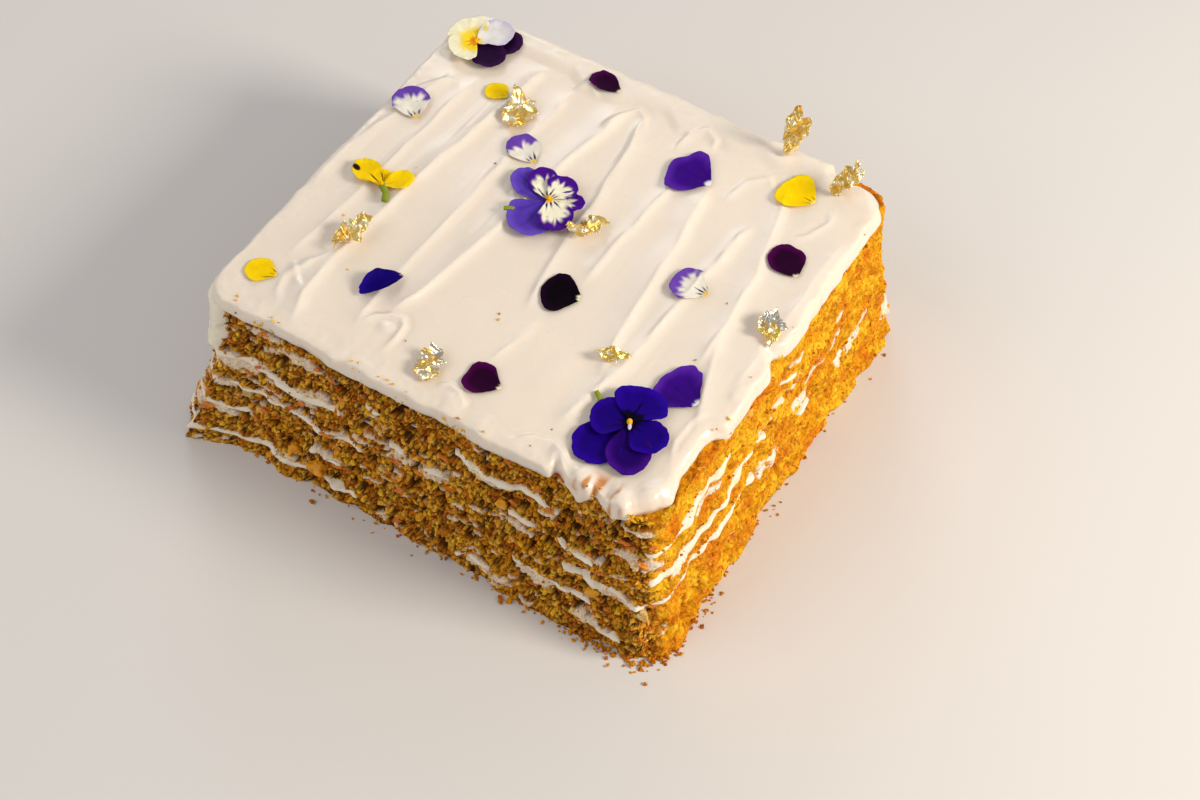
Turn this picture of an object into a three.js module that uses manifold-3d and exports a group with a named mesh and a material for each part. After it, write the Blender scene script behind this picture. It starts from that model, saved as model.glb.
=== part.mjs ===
// Carrot cake: a square block of six craggy sponge layers with cream between them, iced on top
// with spatula ridges and scattered with violas, loose petals and crumpled gold leaf.
// Millimetres, +Z up. The origin is the centre of the underside, the front is -Y.
import * as THREE from "three";
import { mergeVertices } from "three/addons/utils/BufferGeometryUtils.js";
import Module from "manifold-3d";

// The block
const WIDTH = 160; // along X, at the top of the sponge
const DEPTH = 146; // along Y
const CORNER_RADIUS = 8; // of the outline seen from above
const FLARE = 7.5; // how far the foot stands out past the top edge
const FRONT_FLARE = 2.5; // how much further it does at the front
const STATIONS = 88; // points round the outline
const HUB = [4, 3]; // where the triangles of a layer's flat faces meet
const GAP = 0.3; // clear space between two pieces

// The layers, from the top down
const SPONGE_TOP = 59.4;
const CREAM_HEIGHTS = [48.6, 37, 26, 16, 6.8];
const CREAM_THICKNESS = [2.6, 2.3, 2.1, 1.9, 1.7];
const CREAM_UNEVEN = 0.35; // share by which a filling's thickness varies
const CREAM_TILTS = [-0.03, -0.045, -0.025, -0.01, 0.015]; // rise of each filling for each millimetre along X
const LAYER_WAVE = 0.9; // how far they wave up and down

// The rough sides
const CRAG_LARGE = 1.5;
const CRAG_SMALL = 1.1;
const EDGE_CALM = 0.55; // share by which the crags are lower along the top edge
const SHOULDER = 1.4; // how far a layer's edges are rounded back
const CORNER_BULGE = { x: -79, y: -72, reach: 17, out: 10 }; // crumbs that stand out at one foot

// The icing
const ICING_TOP = 65.2;
const ICING_SEAT = 8; // width of the flat seat under its edge
const ICING_BULGE = 0.35; // how far its side swells
const ICING_RIM = 3.4; // width of the rounding along its edge
const ICING_LIP = 0.9; // how far it usually hangs over the sponge's edge
const ICING_SKIRT = 0.8; // thickness of what hangs
const COLUMNS = 62; // of the mesh across the ridges
const ROWS = 21; // of the mesh along them
const CORNER_DRAW = 0.035; // how far its corners are drawn in to the rounded outline
// Lobes that hang down the side: the middle of each, how far it hangs, and its half width.
const LOBES = [
  { x: 54, y: -73, hang: 1.4, reach: 6 },
  { x: 65.5, y: -73, hang: 1.4, reach: 4.5 },
  { x: -30, y: -73, hang: 1.2, reach: 9 },
  { x: -80, y: 5, hang: 2, reach: 14 },
  { x: -20, y: 73, hang: 1.5, reach: 12 },
];
// Places where it stops short of the sponge's edge.
const SHORTFALLS = [
  { x: 80, y: -71, inset: 3.8, reach: 12 },
  { x: 80, y: -50, inset: 2.4, reach: 22 },
  { x: 80, y: -4, inset: 1, reach: 7 },
  { x: 72, y: 73, inset: 2.6, reach: 16 },
  { x: 47.5, y: -73, inset: 1.6, reach: 4.5 },
];
const SHORTFALL_SPREAD = 1.3; // times the reach, within which it doesn't hang over either
const SHORT_LEAST = 0.8; // a smaller set-back leaves the edge as it is elsewhere
// A smear of cream below the icing at the left corner: its first station, and its drop at each.
const SMEAR = { x: -80, y: -67, reach: 14, first: -2, top: 57.2, drops: [7, 15, 20, 17, 9], thick: 1.7 };
// Spatula ridges: places that the crest passes through, its height, and its width to each side.
const RIDGES = [
  { high: 1.3, left: 2.6, right: 3.4, path: [[-79, -24], [-77, 0], [-73, 18], [-70, 32], [-67, 46]] },
  { high: 1.0, left: 4, right: 2, path: [[-66, -50], [-63, -20], [-62, 0], [-60.5, 25], [-60, 46]] },
  { high: 1.9, left: 4.5, right: 1.8, path: [[-49, -70], [-52.5, -59], [-53, -42], [-50, 0], [-42, 62]] },
  { high: 0.9, left: 1.5, right: 2, path: [[-61.5, -58], [-58, -48], [-54.5, -40]] },
  { high: 1.1, left: 3.5, right: 1.8, path: [[-33, -62], [-33, -36], [-31.5, 0], [-31, 30], [-29, 57]] },
  { high: 1.9, left: 4.5, right: 1.7, path: [[-27, -52], [-23, -42], [-17, -5], [-14, 30], [-9, 59]] },
  { high: 1.3, left: 1.8, right: 3.5, path: [[8, -29], [5.5, -16], [3.5, 0], [2.5, 22], [0, 42], [-3, 59]] },
  { high: 0.6, left: 2, right: 2, path: [[9, -52], [11.5, -42], [14, -28]] },
  { high: 1.2, left: 3.5, right: 1.8, path: [[17, -12], [17.5, 5], [18.5, 20], [20, 36], [22, 58]] },
  { high: 1.8, left: 5, right: 1.7, path: [[39, -38], [36.5, -20], [35, 0], [33, 22], [30, 44]] },
  { high: 1.5, left: 3, right: 1.8, path: [[38, -60], [41, -46], [44, -32], [46, 0], [49.5, 38]] },
  { high: 1.5, left: 4, right: 1.8, path: [[62, -20], [62, -4], [60, 20], [57, 34], [51, 58]] },
  { high: 1.0, left: 1.8, right: 3.5, path: [[73, -40], [69, -28], [65, -16], [62.5, -4]] },
  { high: 0.8, left: 4, right: 3, path: [[75, -22], [76, 10], [76, 46]] },
];
const RIDGE_FADE = 9; // length over which a ridge dies away at its ends
// The smeared band behind the ridges' far ends.
const BACK_BAND = { from: 60, over: 5, high: 1.0 };
// Scooped marks near the front edge: middle, half sizes, depth and the height of the curled lip.
const SCOOPS = [
  { x: -24.5, y: -59, rx: 6.5, ry: 9, deep: 1.0, lip: 1.3 },
  { x: 9, y: -67, rx: 4, ry: 4, deep: 0.8, lip: 1.0 },
  { x: 45, y: -68, rx: 4, ry: 4, deep: 0.8, lip: 1.0 },
];

// The toppings
const PETAL_THICKNESS = 0.55;
const PETAL_SIDES = 12; // points round a petal
const LIFT = 0.5; // clear height of a topping over the icing's crests
// Loose petals: the claw's place and the direction the petal points to.
const PETALS = [
  { name: "petal_lilac_back", x: -22.6, y: 22.6, turn: 152, long: 13, wide: 11, cup: 1.2, fold: 0.3 },
  { name: "petal_lilac_left", x: -65.5, y: 18.5, turn: 139, long: 14.5, wide: 12.5, cup: 1.6, fold: 0.6 },
  { name: "petal_lilac_right", x: 51.5, y: 4.5, turn: 178, long: 12, wide: 13, cup: 1.6, fold: 0.4 },
  { name: "petal_yellow_back", x: -45.5, y: 42, turn: 168, long: 9.5, wide: 8, cup: 0.8, fold: 0.2 },
  { name: "petal_yellow_left", x: -63.5, y: -57.5, turn: 188, long: 10.5, wide: 9.5, cup: 0.6, fold: 0.2 },
  { name: "petal_yellow_right", x: 61.5, y: 54.5, turn: 172, long: 13, wide: 15, cup: 1.4, fold: 1 },
  { name: "petal_plum_back", x: -15.5, y: 63.5, turn: 168, long: 12.5, wide: 8, cup: 0.6, fold: 1.4 },
  { name: "petal_plum_front", x: 17.8, y: -57, turn: 180, long: 12, wide: 11.5, cup: 0.8, fold: 0.8 },
  { name: "petal_plum_right", x: 71, y: 25, turn: 143, long: 13.5, wide: 12, cup: 1, fold: 0.4 },
  { name: "petal_black", x: 19.8, y: -16.5, turn: 193, long: 12.5, wide: 14.5, cup: 0.8, fold: 0.2 },
  { name: "petal_blue_curled", x: -30.5, y: -37, turn: 241, long: 14.5, wide: 8.5, cup: 0.6, fold: 3.4 },
  { name: "petal_violet_front", x: 69.5, y: -32.5, turn: 163, long: 14.5, wide: 17.5, cup: 2, fold: 0.6 },
  { name: "petal_violet_right", x: 30, y: 44, turn: 176, long: 15, wide: 18.5, cup: 1.8, fold: 0.8 },
];
// Whole violas: the eye's place and radius, then each petal's direction, length, width and height in
// the flower, from the lowest up.
const VIOLAS = [
  {
    name: "viola_front", x: 56.5, y: -48.5, eye: 1.7,
    petals: [
      [245, 19, 14.8, 0], [300, 17.5, 13.8, 0.8], [190, 11.9, 13.4, 1.6], [348, 12.8, 12.4, 1.6],
      [92, 12.8, 17.1, 2.4],
    ],
    stem: { from: [-8, -3, 1.9], to: [-14, 4.5, 1.6], radius: 0.75 },
  },
  {
    name: "viola_middle", x: -9, y: 10.5, eye: 1.4,
    petals: [
      [162, 17, 11.6, 0], [262, 16, 16.4, 0], [135, 13.8, 10.2, 0.8], [22, 11.2, 8.4, 0.8],
      [78, 10.7, 11.2, 1.6], [318, 13.8, 11.6, 1.6],
    ],
    stem: { from: [-5.5, -7, 0.6], to: [-10, -10.4, 0.9], radius: 0.8 },
  },
  {
    name: "viola_back", x: -68.5, y: 57.5, eye: 1.5,
    petals: [
      [36, 15.5, 13, 0], [340, 13, 12, 0.7], [148, 12, 15, 1.5], [66, 14, 13, 1.5], [248, 9.5, 14, 2.3],
    ],
  },
  {
    name: "viola_yellow", x: -57, y: -12, eye: 1.3,
    petals: [[161, 14, 9, 0.8], [52, 10.5, 8, 0.8], [120, 7, 6, 0]],
    stem: { from: [0, 0, 1], to: [4.6, -5, 1], radius: 1.1 },
  },
];
const VIOLA_CUP = 0.9;
const VIOLA_SIDES = 10; // points round each of their petals
// Gold leaf: middle, half sizes, turn, lean from lying flat, and how far it is crumpled.
const GOLD = [
  { x: -38.6, y: 38.5, rx: 5.5, ry: 8, turn: 20, lean: 8, crumple: 1.1 },
  { x: -53, y: -33.5, rx: 4.6, ry: 7.6, turn: -20, lean: 14, crumple: 1.2 },
  { x: 7.2, y: 7, rx: 3.8, ry: 5.8, turn: -38, lean: 6, crumple: 0.9 },
  { x: -4.5, y: -61, rx: 4, ry: 5.6, turn: 35, lean: 8, crumple: 0.9 },
  { x: 40, y: -30.5, rx: 4.4, ry: 2.7, turn: 25, lean: 6, crumple: 0.7 },
  { x: 74, y: 3, rx: 4, ry: 6, turn: 20, lean: 12, crumple: 1.1 },
  { x: 45, y: 70.5, rx: 4.2, ry: 7.8, turn: 12, lean: 76, crumple: 1.1 },
  { x: 67.4, y: 64.5, rx: 3.6, ry: 6.4, turn: -30, lean: 44, crumple: 0.8 },
];
const GOLD_THICKNESS = 0.5;
const GOLD_SIDES = 9; // points round a flake

const radians = THREE.MathUtils.degToRad;
const { lerp, clamp, smoothstep } = THREE.MathUtils;

// Smooth noise from -1 to 1 in space, with one swell for each unit.
function hash(i, j, k, seed) {
  const s = Math.sin(i * 127.1 + j * 311.7 + k * 74.7 + seed * 19.3) * 43758.5453;
  return s - Math.floor(s);
}
function noise(x, y, z, seed) {
  const [i, j, k] = [x, y, z].map(Math.floor);
  const [u, v, w] = [x - i, y - j, z - k].map((t) => t * t * (3 - 2 * t));
  const row = (b, c) => lerp(hash(i, j + b, k + c, seed), hash(i + 1, j + b, k + c, seed), u);
  const sheet = (c) => lerp(row(0, c), row(1, c), v);
  return 2 * lerp(sheet(0), sheet(1), w) - 1;
}

// A smooth hump that is 1 at the middle of an item with x, y and reach, and 0 past its reach.
function hump(item, x, y) {
  const t = clamp(Math.hypot(x - item.x, y - item.y) / item.reach, 0, 1);
  return (1 - t * t) ** 2;
}

// Points and triangles of one closed surface. Rings run anticlockwise seen from above.
class Surface {
  points = [];
  faces = [];
  ring(places) {
    return places.map((p) => this.points.push(p) - 1);
  }
  face(a, b, c) {
    this.faces.push(a, b, c);
  }
  band(from, to) {
    from.forEach((a, i) => {
      const j = (i + 1) % from.length;
      this.face(a, from[j], to[j]);
      this.face(a, to[j], to[i]);
    });
  }
  cap(place, ring, upward) {
    const [middle] = this.ring([place]);
    ring.forEach((a, i) => {
      const b = ring[(i + 1) % ring.length];
      if (upward) this.face(middle, a, b);
      else this.face(middle, b, a);
    });
  }
  // Joins an outer loop to an inner one with another number of points, both going round the origin.
  zip(outer, inner) {
    const start = this.angle(outer[0]);
    const along = (loop) => {
      const turns = loop.map((i) => THREE.MathUtils.euclideanModulo(this.angle(i) - start, 2 * Math.PI));
      if (turns[0] > Math.PI) turns[0] -= 2 * Math.PI;
      return [...turns, turns[0] + 2 * Math.PI];
    };
    const nearest = (loop) => {
      const away = (i) => Math.abs(Math.sin((this.angle(i) - start) / 2));
      const first = loop.reduce((best, i, at) => (away(i) < away(loop[best]) ? at : best), 0);
      return [...loop.slice(first), ...loop.slice(0, first)];
    };
    const a = outer;
    const b = nearest(inner);
    const [turnA, turnB] = [along(a), along(b)];
    let i = 0;
    let j = 0;
    while (i < a.length || j < b.length) {
      const [p, q] = [a[i % a.length], b[j % b.length]];
      if (j === b.length || (i < a.length && turnA[i + 1] <= turnB[j + 1])) {
        i += 1;
        this.face(p, a[i % a.length], q);
      } else {
        j += 1;
        this.face(p, b[j % b.length], q);
      }
    }
  }
  angle(i) {
    return Math.atan2(this.points[i][1], this.points[i][0]);
  }
  geometry() {
    const made = new THREE.BufferGeometry();
    made.setAttribute("position", new THREE.Float32BufferAttribute(this.points.flat(), 3));
    made.setIndex(this.faces);
    made.computeVertexNormals();
    return made;
  }
}

// The outline seen from above: at each station the ray from the middle, its length to the edge,
// and how much longer a step along the ray is than the step outward that it makes.
function outline() {
  const [w, d, r] = [WIDTH / 2, DEPTH / 2, CORNER_RADIUS];
  const shape = new THREE.Shape();
  shape.moveTo(-w, -d + r);
  shape.absarc(-w + r, -d + r, r, Math.PI, 1.5 * Math.PI);
  shape.absarc(w - r, -d + r, r, 1.5 * Math.PI, 2 * Math.PI);
  shape.absarc(w - r, d - r, r, 0, 0.5 * Math.PI);
  shape.absarc(-w + r, d - r, r, 0.5 * Math.PI, Math.PI);
  shape.closePath();
  const places = shape.getSpacedPoints(STATIONS).slice(0, STATIONS);
  return places.map((p, i) => {
    const before = places[(i + STATIONS - 1) % STATIONS];
    const after = places[(i + 1) % STATIONS];
    const along = after.clone().sub(before).normalize();
    const ray = p.clone().normalize();
    return { x: p.x, y: p.y, ray, radius: p.length(), stretch: 1 / (ray.x * along.y - ray.y * along.x) };
  });
}
const stations = outline();

// How far the rough side stands out past the outline at a height.
function sideOffset(x, y, z) {
  const foot = 1 - z / SPONGE_TOP;
  const crag = CRAG_LARGE * noise(x / 9, y / 9, z / 7, 1) + CRAG_SMALL * noise(x / 4.5, y / 4.5, z / 4, 2);
  const bulge = CORNER_BULGE.out * hump(CORNER_BULGE, x, y) * foot ** 2;
  const underSmear = 1 - 0.75 * hump(SMEAR, x, y) * smoothstep(z, 30, 40);
  const nearEdge = 1 - EDGE_CALM * smoothstep(z, 46, 58);
  const flare = FLARE + FRONT_FLARE * smoothstep(-y, 55, 72);
  return flare * foot ** 1.3 + bulge + crag * underSmear * nearEdge;
}

// A place on the side at a station, set back from the rough surface.
function sidePlace(s, z, inset) {
  const reach = s.radius + (sideOffset(s.x, s.y, z) - inset) * s.stretch;
  return [s.ray.x * reach, s.ray.y * reach, z];
}

// Middle height and thickness of a cream filling where it meets the side.
function creamMiddle(i, x, y) {
  const wave = noise(x / 24, y / 24, i * 5.3, 3) + 0.35 * noise(x / 8, y / 8, i * 3.1, 4);
  return CREAM_HEIGHTS[i] + CREAM_TILTS[i] * x + LAYER_WAVE * wave;
}
function creamThickness(i, x, y) {
  return CREAM_THICKNESS[i] * (1 + CREAM_UNEVEN * noise(x / 11, y / 11, i * 7.7, 5));
}

// A sponge layer between two heights that vary along the outline.
const SIDE_ROWS = [0, 0.5, 1]; // share of the layer's height
function spongeLayer(lowAt, highAt, lowMiddle, highMiddle, lowInset, highInset) {
  const layer = new Surface();
  const rows = SIDE_ROWS.map((share) => {
    const inset = share === 0 ? lowInset : share === 1 ? highInset : 0;
    return layer.ring(stations.map((s) => sidePlace(s, lerp(lowAt(s), highAt(s), share), inset)));
  });
  layer.cap([...HUB, lowMiddle], rows[0], false);
  rows.slice(1).forEach((row, i) => layer.band(rows[i], row));
  if (highAt(stations[0]) === SPONGE_TOP) {
    const seat = layer.ring(stations.map((s) => seatPlace(s, SPONGE_TOP)));
    layer.band(rows.at(-1), seat);
    layer.cap([...HUB, highMiddle], seat, true);
  } else layer.cap([...HUB, highMiddle], rows.at(-1), true);
  return layer.geometry();
}

// The inner line of the flat seat that the icing's edge lies on.
function seatPlace(s, z) {
  const reach = s.radius - ICING_SEAT * s.stretch;
  return [s.ray.x * reach, s.ray.y * reach, z];
}

// The underside and the top of each layer of sponge, as a height at a station and in the middle.
function spongeGeometry(i) {
  const below = i < CREAM_HEIGHTS.length;
  const low = (s) => (below ? creamMiddle(i, s.x, s.y) + creamThickness(i, s.x, s.y) / 2 : 0);
  const high = (s) =>
    i > 0 ? creamMiddle(i - 1, s.x, s.y) - creamThickness(i - 1, s.x, s.y) / 2 : SPONGE_TOP;
  const lowMiddle = below ? CREAM_HEIGHTS[i] + CREAM_THICKNESS[i] / 2 : 0;
  const highMiddle = i > 0 ? CREAM_HEIGHTS[i - 1] - CREAM_THICKNESS[i - 1] / 2 : SPONGE_TOP;
  return spongeLayer(low, high, lowMiddle, highMiddle, SHOULDER / 2, i > 0 ? SHOULDER / 2 : SHOULDER);
}

// A cream filling, which here stands a little proud of the sponge and there lies a little back.
function creamGeometry(i) {
  const filling = new Surface();
  const rings = [-1, 1].map((end) =>
    filling.ring(
      stations.map((s) => {
        const half = creamThickness(i, s.x, s.y) / 2 - GAP;
        const inset = 0.5 - 0.9 * noise(s.x / 7, s.y / 7, i * 2.3, 6);
        return sidePlace(s, creamMiddle(i, s.x, s.y) + end * half, inset);
      }),
    ),
  );
  const half = CREAM_THICKNESS[i] / 2 - GAP;
  filling.cap([...HUB, CREAM_HEIGHTS[i] - half], rings[0], false);
  filling.band(rings[0], rings[1]);
  filling.cap([...HUB, CREAM_HEIGHTS[i] + half], rings[1], true);
  return filling.geometry();
}

// The ridge's crest at a depth along Y, and how far inside its two ends that is.
function crestAt(path, y) {
  const rising = path[0][1] < path.at(-1)[1] ? path : [...path].reverse();
  const within = Math.min(y - rising[0][1], rising.at(-1)[1] - y);
  const at = clamp(y, rising[0][1], rising.at(-1)[1]);
  const next = Math.max(1, rising.findIndex((p) => p[1] >= at));
  const [a, b] = [rising[next - 1], rising[next]];
  return { x: lerp(a[0], b[0], (at - a[1]) / (b[1] - a[1])), within };
}

// Height of the icing's top away from its edge.
function icingHeight(x, y) {
  const { from, over, high } = BACK_BAND;
  let z = ICING_TOP + 0.3 * noise(x / 26, y / 34, 0, 7) + 0.15 * noise(x / 7, y / 16, 0, 8);
  z += high * smoothstep(y + 2.5 * noise(x / 9, 0, 0, 9), from, from + over);
  for (const ridge of RIDGES) {
    const crest = crestAt(ridge.path, y);
    const away = x - crest.x;
    const side = away < 0 ? ridge.left : ridge.right;
    z += ridge.high * smoothstep(crest.within, -1, RIDGE_FADE) * Math.exp(-(Math.abs(away / side) ** 1.4));
  }
  for (const scoop of SCOOPS) {
    const q = Math.hypot((x - scoop.x) / scoop.rx, (y - scoop.y) / scoop.ry);
    const far = smoothstep((y - scoop.y) / scoop.ry, -0.6, 0.5);
    z += scoop.lip * far * Math.exp(-(((q - 1.1) / 0.28) ** 2)) - scoop.deep * Math.exp(-((q / 0.8) ** 4));
  }
  return z;
}

// The icing's edge at a station: how far it hangs, and how far it stops short.
function icingEdge(s) {
  const uneven = noise(s.x / 8, s.y / 8, 0, 10);
  let hang = ICING_LIP + 0.6 * uneven;
  for (const lobe of LOBES) hang += lobe.hang * hump(lobe, s.x, s.y);
  let short = 0;
  for (const item of SHORTFALLS) {
    short = Math.max(short, item.inset * hump(item, s.x, s.y) * (1 + 0.3 * uneven));
    hang *= 1 - Math.min(1, 6 * hump({ ...item, reach: item.reach * SHORTFALL_SPREAD }, s.x, s.y));
  }
  return { hang, short };
}

// How far out a wall at a station clears the sponge down to a depth below its top.
function wallAt(s, deepest) {
  const depths = Array.from({ length: 12 }, (_, k) => SPONGE_TOP - ((deepest + 2) * k) / 11);
  return Math.max(...depths.map((z) => sideOffset(s.x, s.y, z))) + GAP;
}

// A place at a station, a distance out from the outline.
function outPlace(s, out, z) {
  const reach = s.radius + out * s.stretch;
  return [s.ray.x * reach, s.ray.y * reach, z];
}

// The rings of the icing's edge, from the seat out and down to the lip and up to the rounding.
function icingRings(s, i) {
  const { hang, short } = icingEdge(s);
  const at = (out, z) => outPlace(s, out, z);
  const seat = SPONGE_TOP + GAP;
  const rounding = ICING_TOP - 1.1;
  if (short > SHORT_LEAST) {
    const out = sideOffset(s.x, s.y, SPONGE_TOP) - SHOULDER - short;
    return [at(out, seat), at(out + 0.5, seat + 0.5), at(out + 0.9, seat + 2.6), at(out - 0.7, rounding)];
  }
  const deepest = Math.max(...[-1, 0, 1].map((k) => icingEdge(stations.at((i + k) % STATIONS)).hang));
  const wall = wallAt(s, deepest);
  const top = sideOffset(s.x, s.y, SPONGE_TOP) + GAP;
  const skirt = ICING_SKIRT * smoothstep(hang, 0, 2);
  return [
    at(wall, seat),
    at(wall, SPONGE_TOP - hang),
    at(wall + skirt + ICING_BULGE, SPONGE_TOP - 0.55 * hang + 0.5),
    at(top - 0.4, rounding),
  ];
}

// Length of the ray to a loop of places round the middle, in a direction.
function reachOf(loop, angle) {
  const turn = (p) => {
    const away = Math.atan2(p[1], p[0]) - angle + Math.PI;
    return THREE.MathUtils.euclideanModulo(away, 2 * Math.PI) - Math.PI;
  };
  const at = loop.findIndex((p, i) => turn(p) <= 0 && turn(loop[(i + 1) % loop.length]) > 0);
  const [a, b] = [loop[at], loop[(at + 1) % loop.length]];
  const share = -turn(a) / (turn(b) - turn(a));
  return lerp(Math.hypot(a[0], a[1]), Math.hypot(b[0], b[1]), share);
}

// The icing: its underside and edge from rings, its top from a grid across the ridges.
function icingGeometry() {
  const icing = new Surface();
  const seat = icing.ring(stations.map((s) => seatPlace(s, SPONGE_TOP + GAP)));
  const edge = stations.map(icingRings);
  const rings = [0, 1, 2, 3].map((row) => icing.ring(edge.map((places) => places[row])));
  icing.cap([0, 0, SPONGE_TOP + GAP], seat, false);
  icing.band(seat, rings[0]);
  rings.slice(1).forEach((ring, i) => icing.band(rings[i], ring));

  const top = rings.at(-1).map((i) => icing.points[i]);
  const plain = stations.map((s) => [s.x, s.y]);
  const pastCorner = (x, y) => {
    const past = [Math.abs(x) - WIDTH / 2, Math.abs(y) - DEPTH / 2];
    const away = past.map((t) => Math.max(0, t + CORNER_RADIUS));
    return Math.hypot(...away) / CORNER_RADIUS;
  };
  const grid = [];
  for (let j = 0; j <= ROWS; j += 1) {
    const places = [];
    for (let i = 0; i <= COLUMNS; i += 1) {
      const x = (WIDTH / 2) * (-1 + (2 * i) / COLUMNS);
      const y = (DEPTH / 2) * (-1 + (2 * j) / ROWS);
      const past = pastCorner(x, y);
      const draw = past > 1 ? 1 - CORNER_DRAW * past : 1;
      const [u, v] = [x * draw, y * draw];
      const angle = Math.atan2(v, u);
      const scale = (reachOf(top, angle) - ICING_RIM) / reachOf(plain, angle);
      places.push([u * scale, v * scale, icingHeight(u * scale, v * scale)]);
    }
    grid.push(icing.ring(places));
  }
  for (let j = 0; j < ROWS; j += 1)
    for (let i = 0; i < COLUMNS; i += 1) {
      const [a, b, c, d] = [grid[j][i], grid[j][i + 1], grid[j + 1][i + 1], grid[j + 1][i]];
      icing.face(a, b, c);
      icing.face(a, c, d);
    }
  const loop = [
    ...grid[0].slice(0, -1),
    ...grid.slice(0, -1).map((row) => row.at(-1)),
    ...grid.at(-1).slice(1).reverse(),
    ...grid.slice(1).reverse().map((row) => row[0]),
  ];
  icing.zip(rings.at(-1), loop);
  return icing.geometry();
}

// The smear: a section at each of its stations, joined one to the next.
function smearGeometry() {
  const { first, top, drops, thick } = SMEAR;
  const smear = new Surface();
  const sections = drops.map((drop, i) => {
    const s = stations.at(first + i);
    const [high, middle, low] = [0.2, 0.6, 1].map((share) => wallAt(s, share * drop + SPONGE_TOP - top));
    return [
      outPlace(s, low, top - drop),
      outPlace(s, middle, top - 0.5 * drop),
      outPlace(s, high, top),
      outPlace(s, high + 0.8 * thick, top - 0.4),
      outPlace(s, middle + thick, top - 0.5 * drop),
      outPlace(s, low + 0.6 * thick, top - drop + 0.6),
    ];
  });
  const rings = sections.map((places) => smear.ring(places));
  rings.slice(1).forEach((ring, i) => smear.band(rings[i], ring));
  const middle = (places) => [0, 1, 2].map((axis) => (places[1][axis] + places[4][axis]) / 2);
  smear.cap(middle(sections[0]), rings[0], false);
  smear.cap(middle(sections.at(-1)), rings.at(-1), true);
  return smear.geometry();
}

// A thin closed sheet from the middle and two rings of its middle surface. Both faces are split alike.
function thinSheet(middle, innerPlaces, outerPlaces, thickness) {
  const sheet = new Surface();
  const rims = [1, -1].map((side) => {
    const lift = ([x, y, z]) => [x, y, z + (side * thickness) / 2];
    const face = (a, b, c) => (side > 0 ? sheet.face(a, b, c) : sheet.face(a, c, b));
    const [centre] = sheet.ring([lift(middle)]);
    const inner = sheet.ring(innerPlaces.map(lift));
    const outer = sheet.ring(outerPlaces.map(lift));
    inner.forEach((a, i) => {
      const j = (i + 1) % inner.length;
      face(centre, a, inner[j]);
      face(a, outer[i], outer[j]);
      face(a, outer[j], inner[j]);
    });
    return outer;
  });
  sheet.band(rims[1], rims[0]);
  return sheet.geometry();
}

// A petal, lying along +X from its claw at the origin.
function petalGeometry(long, wide, cup, fold, seed, sides = PETAL_SIDES) {
  const place = (share, i) => {
    const angle = (2 * Math.PI * i) / sides;
    const [c, s] = [Math.cos(angle), Math.sin(angle)];
    const pinch = 1 - 0.62 * Math.max(0, -c) ** 1.6;
    const ruffle = 1 + 0.05 * noise(2 * c, 2 * s, seed, 11);
    const x = (long / 2) * c * share * ruffle;
    const y = (wide / 2) * s * pinch * share * ruffle;
    const curl = cup * share * share * (0.8 + 0.4 * noise(1.6 * c, 1.6 * s, seed, 12));
    return [x + long / 2, y, curl + fold * (y / (wide / 2)) ** 2];
  };
  const ring = (share) => Array.from({ length: sides }, (_, i) => place(share, i));
  return thinSheet(place(0, 0), ring(0.55), ring(1), PETAL_THICKNESS);
}

// A crumpled flake of gold leaf round the origin.
function flakeGeometry({ rx, ry, crumple }, seed) {
  const ring = (share, row) =>
    Array.from({ length: GOLD_SIDES }, (_, i) => {
      const angle = (2 * Math.PI * i) / GOLD_SIDES;
      const reach = share * (0.78 + 0.45 * hash(i, seed, row, 13));
      const z = crumple * (2 * hash(i, seed, row, 14) - 1) * share;
      return [rx * Math.cos(angle) * reach, ry * Math.sin(angle) * reach, z];
    });
  return thinSheet([0, 0, 0], ring(0.5, 1), ring(1, 2), GOLD_THICKNESS);
}

// The height at which a topping clears the icing's crests under it.
function settle(geometry, x, y, turn, tilt) {
  const move = new THREE.Matrix4()
    .makeTranslation(x, y, 0)
    .multiply(new THREE.Matrix4().makeRotationZ(turn))
    .multiply(tilt);
  const place = new THREE.Vector3();
  const positions = geometry.getAttribute("position");
  let height = -Infinity;
  for (let i = 0; i < positions.count; i += 1) {
    place.fromBufferAttribute(positions, i).applyMatrix4(move);
    height = Math.max(height, icingHeight(place.x, place.y) + LIFT - place.z);
  }
  return move.premultiply(new THREE.Matrix4().makeTranslation(0, 0, height));
}

// The lean of the icing under a topping, so that it lies along the surface.
function leanOf(x, y, turn, long) {
  const [c, s] = [Math.cos(turn), Math.sin(turn)];
  const height = (u, v) => icingHeight(x + u * c - v * s, y + u * s + v * c);
  const along = Math.atan((height(long, 0) - height(0, 0)) / long);
  const across = Math.atan((height(long / 2, long / 3) - height(long / 2, -long / 3)) / (long / 1.5));
  return new THREE.Matrix4().makeRotationFromEuler(new THREE.Euler(0.7 * across, -0.7 * along, 0));
}

const wasm = await Module();
wasm.setup();

// Joins closed geometries that overlap into one.
function joined(geometries) {
  const solids = geometries.map((geometry) => {
    const bare = new THREE.BufferGeometry();
    bare.setAttribute("position", geometry.getAttribute("position").clone());
    bare.setIndex(geometry.index);
    const merged = mergeVertices(bare, 1e-4);
    return new wasm.Manifold(
      new wasm.Mesh({
        numProp: 3,
        vertProperties: new Float32Array(merged.getAttribute("position").array),
        triVerts: new Uint32Array(merged.index.array),
      }),
    );
  });
  const whole = solids.reduce((a, b) => a.add(b)).getMesh();
  const made = new THREE.BufferGeometry();
  made.setAttribute("position", new THREE.BufferAttribute(whole.vertProperties, 3));
  made.setIndex(new THREE.BufferAttribute(whole.triVerts, 1));
  made.computeVertexNormals();
  return made;
}

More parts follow.
